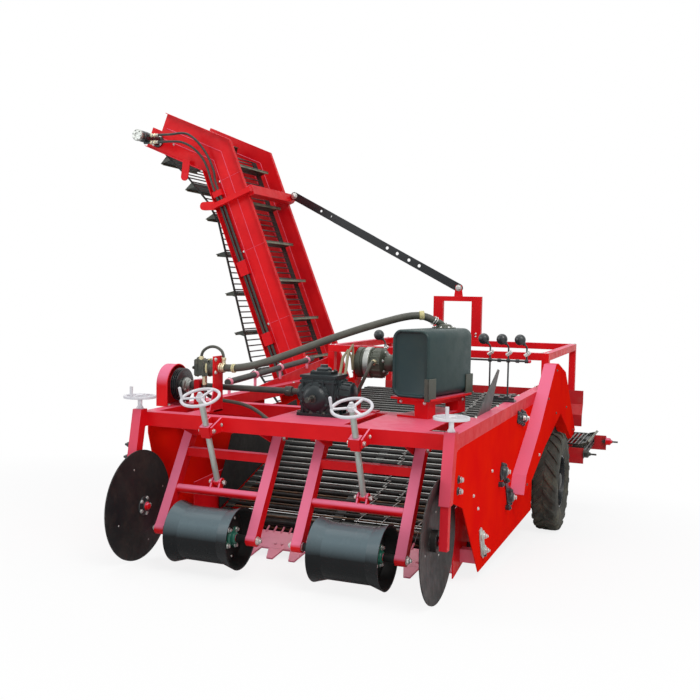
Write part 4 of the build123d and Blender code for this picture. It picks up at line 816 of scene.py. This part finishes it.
CENTRE = vec(150, 700, 300)
bracket = Shape()
bracket.box(140, 150, 640, 760, 0, 400)
bracket.plate([(640, 0), (640, -2), (640, 60), (600, 0)], "x", 141, 8)
bracket.box(120, 300, 620, 700, -2, 8)
bracket.nuts(grid(140, (655, 745), (240, 360)), RIGHT, 17, 9, mat=1)
bracket.box(151, 160, 655, 745, 190, 396)
bracket.make("centre_pump_bracket", "chassis", "red_paint", [red, bolt_steel], bevel=1.5)
pump = Shape()
pump.lathe(CENTRE, LEFT, [
    (0, 0), (78, 0), (94, 12), (94, 40), (84, 44), (84, 54), (94, 58), (94, 104), (84, 108), (84, 116), (92, 120),
    (92, 168), (80, 182), (52, 190), (50, 232), (40, 246), (0, 248)], 52)
for arm in spokes(14):
    start = CENTRE + arm * 90 + vec(112, 0, 0)
    pump.bar(start, start + vec(60, 0, 0), 7, 10, across=(0, -arm.z, arm.y))
pump.lathe((212, 700, 300), LEFT, [(90, 0), (96.5, 2), (96.5, 34), (90, 36)], 52, 1)
pump.ring_of_nuts((334, 700, 300), LEFT, 66, 6, 15, 9, mat=1)
pump.tube((290, 650, 310), (290, 589, 310), 14, sides=24, mat=2)
pump.nut((290, 612, 310), FRONT, 32, 20, mat=2, washer=False)
pump.make("centre_pump_body", "chassis", "pump_silver", [olive_cast, silver_cast, brass], ["centre_pump"], bevel=1.5)

# ------------ oil tank
TANK = Matrix.Translation((620, 746, 120)) @ Matrix.Rotation(radians(-12.8), 4, "Z")


def rounded(half_wide, low, high, radius):
    """A rounded rectangle's points across the tank."""
    x, corners = half_wide - radius, ((1, high - radius), (-1, high - radius), (-1, low + radius), (1, low + radius))
    return [spot for turn, (side, z) in enumerate(corners)
            for spot in around((side * x, z), radius, 90 * turn, 90 * turn + 90, 8)]


tank = Shape()
# along the tank: half width, lowest, highest and the corners' radius
tank.skin([[TANK @ vec(x, place, z) for x, z in rounded(*section)] for place, *section in (
    (-252, 100, 25, 375, 34), (-254, 104, 21, 379, 38), (-266, 107, 18, 382, 42), (-271, 111, 14, 386, 46),
    (-272.5, 116, 9, 391, 48), (-269, 121.5, 3.5, 396.5, 52), (-258, 125, 0, 400, 54), (252, 125, 0, 400, 50),
    (266, 122, 3, 397, 48), (272.5, 113, 12, 388, 42))])
tank.make("oil_tank_shell", "chassis", "tank_plastic", [tank_plastic], ["oil_tank"], bevel=1.5, sharp=50)

fitting = Shape()
cap = vec(640, 900, 520)
fitting.lathe(cap, UP, [(0, -4), (74, -4), (74, 5), (50, 8), (47, 20), (34, 24), (0, 24)], 44)
fitting.ring_of_nuts(cap + vec(0, 0, 5), UP, 62, 8, 13, 7, mat=1)
fitting.pipe([(640, 900, 528), (634, 894, 540), (618, 882, 552), (600, 868, 560), (581, 853, 570)], 20, sides=24)
fitting.nut((640, 900, 542), (0.2, 0.1, 1), 30, 16, mat=1)
for spot in ((596, 865, 562), (586, 857, 567)):
    fitting.torus(spot, (-0.58, -0.44, 0.45), 26, 3.5, 36, 8, mat=1)
# the pale clamps round the suction hose, by the tank and by the pump
fitting.lathe((522, 813.5, 597), (0.925, 0.378, 0.057), [
    (22.5, -15), (27, -15), (28.5, -11), (28.5, 11), (27, 15), (22.5, 15)], 36, 2, closed=True)
for x in (-500, -512):
    fitting.torus((x, 300, 258), LEFT, 23.5, 4.5, 36, 8, mat=2)
fitting.make("tank_fitting", "chassis", "zinc", [olive_cast, bolt_steel, sleeve_yellow], bevel=1.0)

# Angle brackets that hold the tank's outer corners on the stand, and the stand's bolts
brackets = Shape()
for x0, x1, y0, y1 in ((126, 132, -281, -190), (104, 132, -281, -275), (126, 132, 190, 281), (104, 132, 275, 281)):
    square = [(x0, y0), (x1, y0), (x1, y1), (x0, y1)]
    brackets.skin([[TANK @ vec(x, y, z) for x, y in square] for z in (-14, 118)])
to_front, to_left = (TANK.to_3x3() @ Vector(axis) for axis in (FRONT, LEFT))
for spot, axis in (((-80, -235, -28), to_front), ((82, -235, -28), to_front), ((105, 200, -40), to_left)):
    brackets.nut(TANK @ Vector(spot), axis, 15, 8, mat=1)
brackets.make("tank_corner_plates", "chassis", "tank_plastic", [olive_cast, bolt_steel], bevel=1.0)

# ------------ control levers and their linkage
LEVER_Y, PIVOT_Z = 1600, 282
levers = Shape()
levers.box(750, 960, 1560, 1640, 0, 10)
for x in (778, 830, 905):
    levers.box(x - 18, x + 18, 1568, 1632, 8, 40)
levers.box(758, 952, 1590, 1610, 8, 26)
for x, foot_z in ((778, 35), (905, 35), (1030, PIVOT_Z), (8, PIVOT_Z)):
    levers.pipe(at_y(LEVER_Y, (x, foot_z), (x, 372), (x - 6, 386), (x - 48, 427)), 6, sides=16)
    levers.ball((x - 48, LEVER_Y, 427), 38, squash=(1, 0.9, 1))
    levers.tube((x - 26, LEVER_Y, 405), (x - 14, LEVER_Y, 393), 15, 9, 20)
    levers.tube((x - 14, LEVER_Y, 318), (x + 14, LEVER_Y, 340), 13, sides=16, mat=1)
    levers.nut((x + 12, LEVER_Y, 339), (1, 0, 0.75), 20, 14, mat=1)
levers.pipe([(-10, LEVER_Y, PIVOT_Z), (1050, LEVER_Y, PIVOT_Z)], 7, sides=16)
for x in (8, 180, 420, 778, 842, 905, 968, 1030):
    levers.tube((x - 12, LEVER_Y, PIVOT_Z), (x + 12, LEVER_Y, PIVOT_Z), 13, sides=16)
levers.ball((1050, LEVER_Y, PIVOT_Z), 12, mat=2)
levers.make("lever_knobs", "chassis", "cast_black", [cast, bolt_steel, red], ["control_levers"], bevel=1.0)

# ------------ pipe along the right rail's board, in its clamps
bundle = Shape()
first, last = vec(-958, 1020, 84), vec(-958, 2470, 158)
bundle.tube(first, last, 23, sides=28)
for share, size, board in ((0.02, 25, -6), (0.29, 27, 14), (0.58, 27, 38), (0.93, 27, 84)):
    spot = first.lerp(last, share)
    bundle.lathe(spot, (0, 1, 0.051), [(22, -17), (size, -17), (size + 2, -13), (size + 2, 13), (size, 17), (22, 17)],
                 32, 1, closed=True)
    bundle.box(-966, -950, spot.y - 9, spot.y + 9, board, spot.z - 20, mat=1)
    bundle.nut((-958, spot.y, spot.z + size), UP, 16, 10, mat=2)
bundle.make("rail_pipes", "chassis", "zinc", [dark_rubber, share_paint, bolt_steel], ["pipe_bundle"], bevel=1.0)

# ------------ elevator motor
motor = Shape()
seat = Vector(*at_y(NEAR_Y, HEAD_DRUM))
motor.lathe(seat, FRONT, [
    (0, 0), (68, 0), (68, 20), (60, 24), (50, 28), (50, 96), (54, 100), (54, 150), (50, 154), (50, 210), (56, 216),
    (56, 300), (50, 306), (50, 348)])
motor.lathe(seat, FRONT, [
    (50, 346), (57, 349), (58, 352), (58, 376), (52, 383), (24, 384), (24, 378), (14, 376), (0, 376)], mat=1)
motor.ring_of_nuts(seat + vec(0, -379, 0), FRONT, 44, 6, 11, 6)
motor.ring_of_nuts(seat + vec(0, -24, 0), FRONT, 58, 4, 18, 10, mat=2)
run = Vector(LEFT)
for lift in (12, -58):
    start = seat + vec(0, -250, lift)
    motor.tube(start, start + run * 90, 16)
    for reach, across in ((80, 38), (116, 33)):
        motor.nut(start + run * reach, LEFT, across, 18, mat=3, washer=False)
    motor.tube(start + run * 90, start + run * 168, 14.5, mat=1)
    for reach in (140, 150, 160):
        motor.torus(start + run * reach, LEFT, 13.5, 2.2, 24, 8, mat=3)
motor.make("motor_casting", "elevator", "cast_black", [cast, silver_cast, bolt_steel, brass], ["elevator_motor"],
           bevel=1.2)

# ------------ rollers' bearings, frame pins and coulter hubs
for name, side in SIDES:
    bearing = Shape()
    foot = vec(side * FRAME_X + 25, -134, -652)
    for face in (Vector(RIGHT), Vector(LEFT)):
        seat = foot + face * 125
        bearing.lathe(seat, face, [(20.6, 0), (142, 0), (145, 3), (142, 6), (20.6, 6)], 56, 2)
        bearing.lathe(seat, face, [(145.5, 0), (168.4, 74), (165.5, 74), (142.5, 0)], 56, 2, closed=True)
        bearing.lathe(seat, face, [(20.6, 4), (46, 4), (46, 18), (38, 24), (34, 42), (26, 48), (20.6, 48)], 36)
        for spoke in spokes(4, radians(35)):
            spot = seat + spoke * 62 + face * 4
            bearing.bar(seat + spoke * 30 + face * 12, spot + face * 8, 26, 14, across=(0, -spoke.z, spoke.y))
            bearing.tube(spot, spot + face * 16, 16, sides=20)
            bearing.nut(spot + face * 16, face, 20, 14, mat=1)
    bearing.ring_of_nuts(foot + vec(131, 0, 0), LEFT, 112, 5, 12, 5, 0.3, mat=1)
    bearing.make(f"roller_bearings_{name}", f"roller_{name}", "cast_black", [green_cast, bolt_steel, flat_black],
                 bevel=1.2)
    pins = Shape()
    for arm in (-1, 1):
        x = side * FRAME_X + arm * ARM_X
        for face in (-1, 1):
            pins.nut((x + face * 30, *foot.yz), (face, 0, 0), 34, 18, stud=8)
        pins.nut((x + arm * 30, 192, -120), (arm, 0, 0), 30, 14)
        # a dark sleeve over the stub axle, between the bearing and the arm
        pins.tube((foot.x + arm * 176, *foot.yz), (x - arm * 35, *foot.yz), 22.5, sides=32, mat=1)
    pins.make(f"frame_nuts_{name}", f"roller_frame_{name}", "zinc", [bolt_steel, flat_black], bevel=0.8)
    disc = Shape()
    hub, outward = vec(side * 881, -94, -543), vec(side, 0, 0)
    for face in (Vector(RIGHT), Vector(LEFT)):
        disc.lathe(hub + face * 3.2, face, [(58, 0), (56, 5), (40, 8), (28, 10), (28, 16), (16, 18)], 40)
    disc.ring_of_nuts(hub - outward * 8, -outward, 46, 5, 17, 10, 0.4, mat=1)
    disc.nut(hub - outward * 20, -outward, 34, 18, mat=2)
    for reach, count, turn in ((150, 3, 0.5), (232, 4, 1.1)):
        dish = 36 * (reach - 60) / 266
        disc.ring_of_nuts(hub + outward * (dish - 3), -outward, reach, count, 9, 4, turn, mat=1)
    disc.make(f"disc_hub_{name}", f"coulter_{name}", "cast_black", [cast, bolt_steel, red], bevel=0.8)

# ------------ bolts and bearings on the side panels
PANEL_X, ON_PANEL = 975, 975.2
hardware = Shape()
for y, z in ((-86, -190), (-100, -262)):
    hardware.tube((-985, y, z), (-994, y, z), 15, sides=20, mat=1)
    hardware.nut((-992, y, z), RIGHT, 24, 16, stud=10, mat=1)
for y, z in ((62, -244), (52, -304)):
    hardware.lathe((PANEL_X, y, z), LEFT, [(22, 0), (22, 4), (15, 8), (15, 20), (0, 22)], 32, 1)
    hardware.nut((990, y, z), LEFT, 24, 14)
for side in (-1, 1):
    for y, z in ((404, -402), (520, -500), (868, -343), (2100, -330), (3100, -140), (3400, -140)):
        hardware.nut((side * PANEL_X, y, z), (side, 0, 0), 15, 8)
# flanged bearings with their cast lugs: at the case's corner, at the web's rear shaft, and the chain's two idlers
for y, z, radius in ((1780, -130, 36), (1650, -112, 20), (1170, -400, 36), (1392, -612, 38)):
    centre = vec(PANEL_X, y, z)
    hardware.lathe(centre, LEFT, [(radius + 18, 0), (radius + 18, 8), (radius, 14), (radius - 4, 30), (radius - 14, 38),
                                  (0, 40)], 40, 1)
    for turn in (0.6, 2.1, 3.7, 5.2):
        lug = centre + Vector((0, cos(turn), sin(turn))) * (radius + 20)
        hardware.tube(lug, lug + vec(12, 0, 0), 15, sides=20, mat=1)
        hardware.nut(lug + vec(12, 0, 0), LEFT, 15, 9, mat=1)
    hardware.nut((1013, y, z), LEFT, 26, 16)
hardware.plate([(1090, -410), (1110, -450), (1170, -440), (1260, -500), (1330, -640), (1400, -690), (1450, -640),
                (1430, -560), (1330, -520), (1240, -400), (1180, -350), (1110, -360)], "x", ON_PANEL, 9, 1)
for y, z in ((1074, -466), (1305, -665), (1230, -470), (1340, -560)):
    hardware.tube((PANEL_X, y, z), (1004, y, z), 17, mat=1)
    hardware.nut((1004, y, z), LEFT, 18, 10, mat=1)
# the web's front shaft sits in a slotted silver bearing plate
hardware.plate([(560, -640), (600, -628), (640, -660), (700, -770), (705, -815), (660, -830), (620, -800),
                (575, -700)], "x", ON_PANEL, 8, 2)
for y, z, radius in ((604, -678, 32), (660, -778, 30)):
    hardware.lathe((983, y, z), LEFT, [(radius, 0), (radius, 10), (radius - 12, 16), (0, 18)], 32, 2)
    hardware.nut((1001, y, z), LEFT, 26, 14, stud=8)
hardware.nut((983, 684, -812), LEFT, 22, 14, mat=1)
hardware.make("panel_hardware", "chassis", "web_steel", [bolt_steel, cast, zinc], ["chain_tensioner"], bevel=1.0)

# The left panel's front gusset reaches the post; inside the panels, a plate closes each of the share's ends
plates = Shape()
plates.plate([(-22, -84), (80, -84), (80, -140), (170, -420), (176, -424), (-76, -338)], "x", 969, 6)
for x in (-860, 852):
    plates.plate([(418, -500), (436, -905), (660, -868), (860, -800), (1010, -640), (980, -470)], "x", x, 8, 1)
plates.make("panel_gussets", "chassis", "red_paint", [sunlit_red_paint, red], bevel=1.0)

# A black sheet along the digging web's right edge: painted shade, standing where the web lies in deep shade
shade_sheet = Shape()
shade_sheet.plate([(705, -730), (700, -560), (790, -400), (860, -250), (1900, -120), (1960, -330)], "x", -834, 5)
shade_sheet.make("web_shade_sheet", "chassis", "tyre_rubber", [belt_rubber], bevel=0.5)

case = Shape()
case.nuts([(1070, y, z) for y, z in ((1520, -545), (2316, -46), (2690, 140), (3250, -214), (3700, -470), (2700, -200))],
          LEFT, 13, 7, mat=1)
case.nut((1070, 1970, -415), LEFT, 17, 9)
case.make("case_bolts", "chassis", "zinc", [bolt_steel, dark_steel], bevel=0.6)

# ------------ the strut's two bars with their holes and pins
STRUT_FROM, STRUT_TO = vec(-210, 4450, 790), Vector(*at_y(4450, wall(COLLAR, 115)))
STRUT_LONG = (STRUT_TO - STRUT_FROM).length
along = (STRUT_TO - STRUT_FROM).normalized()
across = vec(-along.z, 0, along.x)
strut = Shape()
strut.punched_bar(STRUT_FROM + vec(0, -7, 0), along, across, STRUT_LONG * 0.74, [483, 610, 756, 882], 17)
strut.nut(STRUT_FROM + vec(0, -24, 0), FRONT, 44, 22, mat=1)
strut.make("strut_lower_bolts", "strut_lower", "black_paint", [black, bolt_steel], ["strut_lower"], bevel=0.8)
strut = Shape()
strut.punched_bar(STRUT_TO + vec(0, 5.5, 0), -along, across, STRUT_LONG * 0.26 + 500, [366, 505], 13)
strut.nut(STRUT_TO, FRONT, 50, 24, mat=1, stud=10)
strut.make("strut_upper_bolts", "strut_upper", "black_paint", [black, bolt_steel], ["strut_upper"], bevel=0.8)

# ------------ bolts on the frames, conveyor and shares
trim = Shape()
for side, ear in product((-1, 1), (-1, 1)):
    x = side * SCREW_X + ear * 41
    trim.nut((x, -95, -67), (ear, 0, 0), 20, 12)
    trim.nut((x, -8, -42), FRONT, 15, 8)
trim.nuts(grid((-905, 905), (700, 1300, 2000, 2700), 0), UP, 16, 8)
trim.nuts(grid((-962, -918, 918, 962), (2890, 4450), 260), UP, 14, 8)
for y, axis in ((3630, FRONT), (4470, REAR)):
    trim.nuts(grid((-1000, -600, -200, 200, 600, 1000), y, -690), axis, 16, 9)
for side in (-1, 1):
    for tooth, shift in product(range(5), (-22, 22)):
        trim.nut((side * (146 + tooth * 150) + shift, 520, -862.2), (0, -0.36, 0.93), 13, 6, mat=2)
    for finger in range(15):
        x = side * (62 + finger * 54)
        trim.pipe([(x, 626, -824), (x, 650, -810), (x, 672, -796)], 6.5, sides=10, mat=2)
for y, left, mat in ((3651, 1180, 3), (4449, 1290, 1)):
    trim.nut((left, y, -672), LEFT, 60, 44, mat)
    trim.nut((left + 46, y, -672), LEFT, 28, 14, mat)
trim.nuts(grid((-420, -20), 4425, (300, 330)), FRONT, 14, 8)
trim.make("frame_bolts", "chassis", "zinc", [bolt_steel, red, share_paint, dark_steel], bevel=0.6)

# ------------ floor, world and lights
WHITE = (1, 1, 1)
floor_data = bpy.data.meshes.new("floor")
floor_data.from_pydata([(-40, -40, 0), (40, -40, 0), (40, 40, 0), (-40, 40, 0)], [], [(0, 1, 2, 3)])
added("floor", floor_data)
ground = bpy.data.materials.new("studio floor")
floor_data.materials.append(ground)
nodes = Nodes(ground)
paint = nodes.tree.nodes["Principled BSDF"]
nodes.feed_all(paint, {"Base Color": (0.86, 0.86, 0.86), "Roughness": 0.9, "Specular IOR Level": 0.1})
# under the machine the floor shows its shadow; further out it is plain white
place = nodes.add("NewGeometry", "Position")
reach = nodes.add("VectorMath", "Value", {0: place}, operation="LENGTH")
share = nodes.sums("MULTIPLY", nodes.add("LightPath", "Is Camera Ray"), nodes.ramp(reach, 1.6, 4.5, 0.8, 1.0))
nodes.surface("Material Output", share, paint.outputs["BSDF"],
              nodes.add("Emission", "Emission", {"Color": WHITE, "Strength": 1.0}))

world = bpy.data.worlds.new("studio")
bpy.context.scene.world = world
nodes = Nodes(world)
soft = nodes.tree.nodes["Background"]
nodes.feed_all(soft, {"Color": (0.93, 0.96, 1.0), "Strength": 0.42})
# the camera, metal and glass see plain white
seen = nodes.sums("MAXIMUM", nodes.add("LightPath", "Is Camera Ray"), nodes.add("LightPath", "Is Glossy Ray"))
seen = nodes.sums("MAXIMUM", seen, nodes.add("LightPath", "Is Transmission Ray"))
nodes.surface("World Output", seen, soft.outputs["Background"],
              nodes.add("Background", "Background", {"Color": WHITE, "Strength": 1.0}))


def lamp(name, place, aim, size, power, colour):
    data = bpy.data.lights.new(name, "AREA")
    data.size = size
    data.energy = power
    data.color = colour
    made = added(name, data)
    made.location = place
    made.rotation_euler = (Vector(aim) - Vector(place)).to_track_quat("-Z", "Y").to_euler()


lamp("key", (6.5, -7.0, 8.5), (0.3, 0, 1.2), 5, 560, (1, 0.98, 0.95))
lamp("sky", (-1.0, 0.0, 9.5), (0, 0, 0.5), 8, 300, WHITE)
lamp("fill", (-7.5, -6.0, 4.5), (-0.5, 0, 1.4), 5, 210, (0.96, 0.98, 1))

bpy.context.scene.view_settings.view_transform = "Standard"
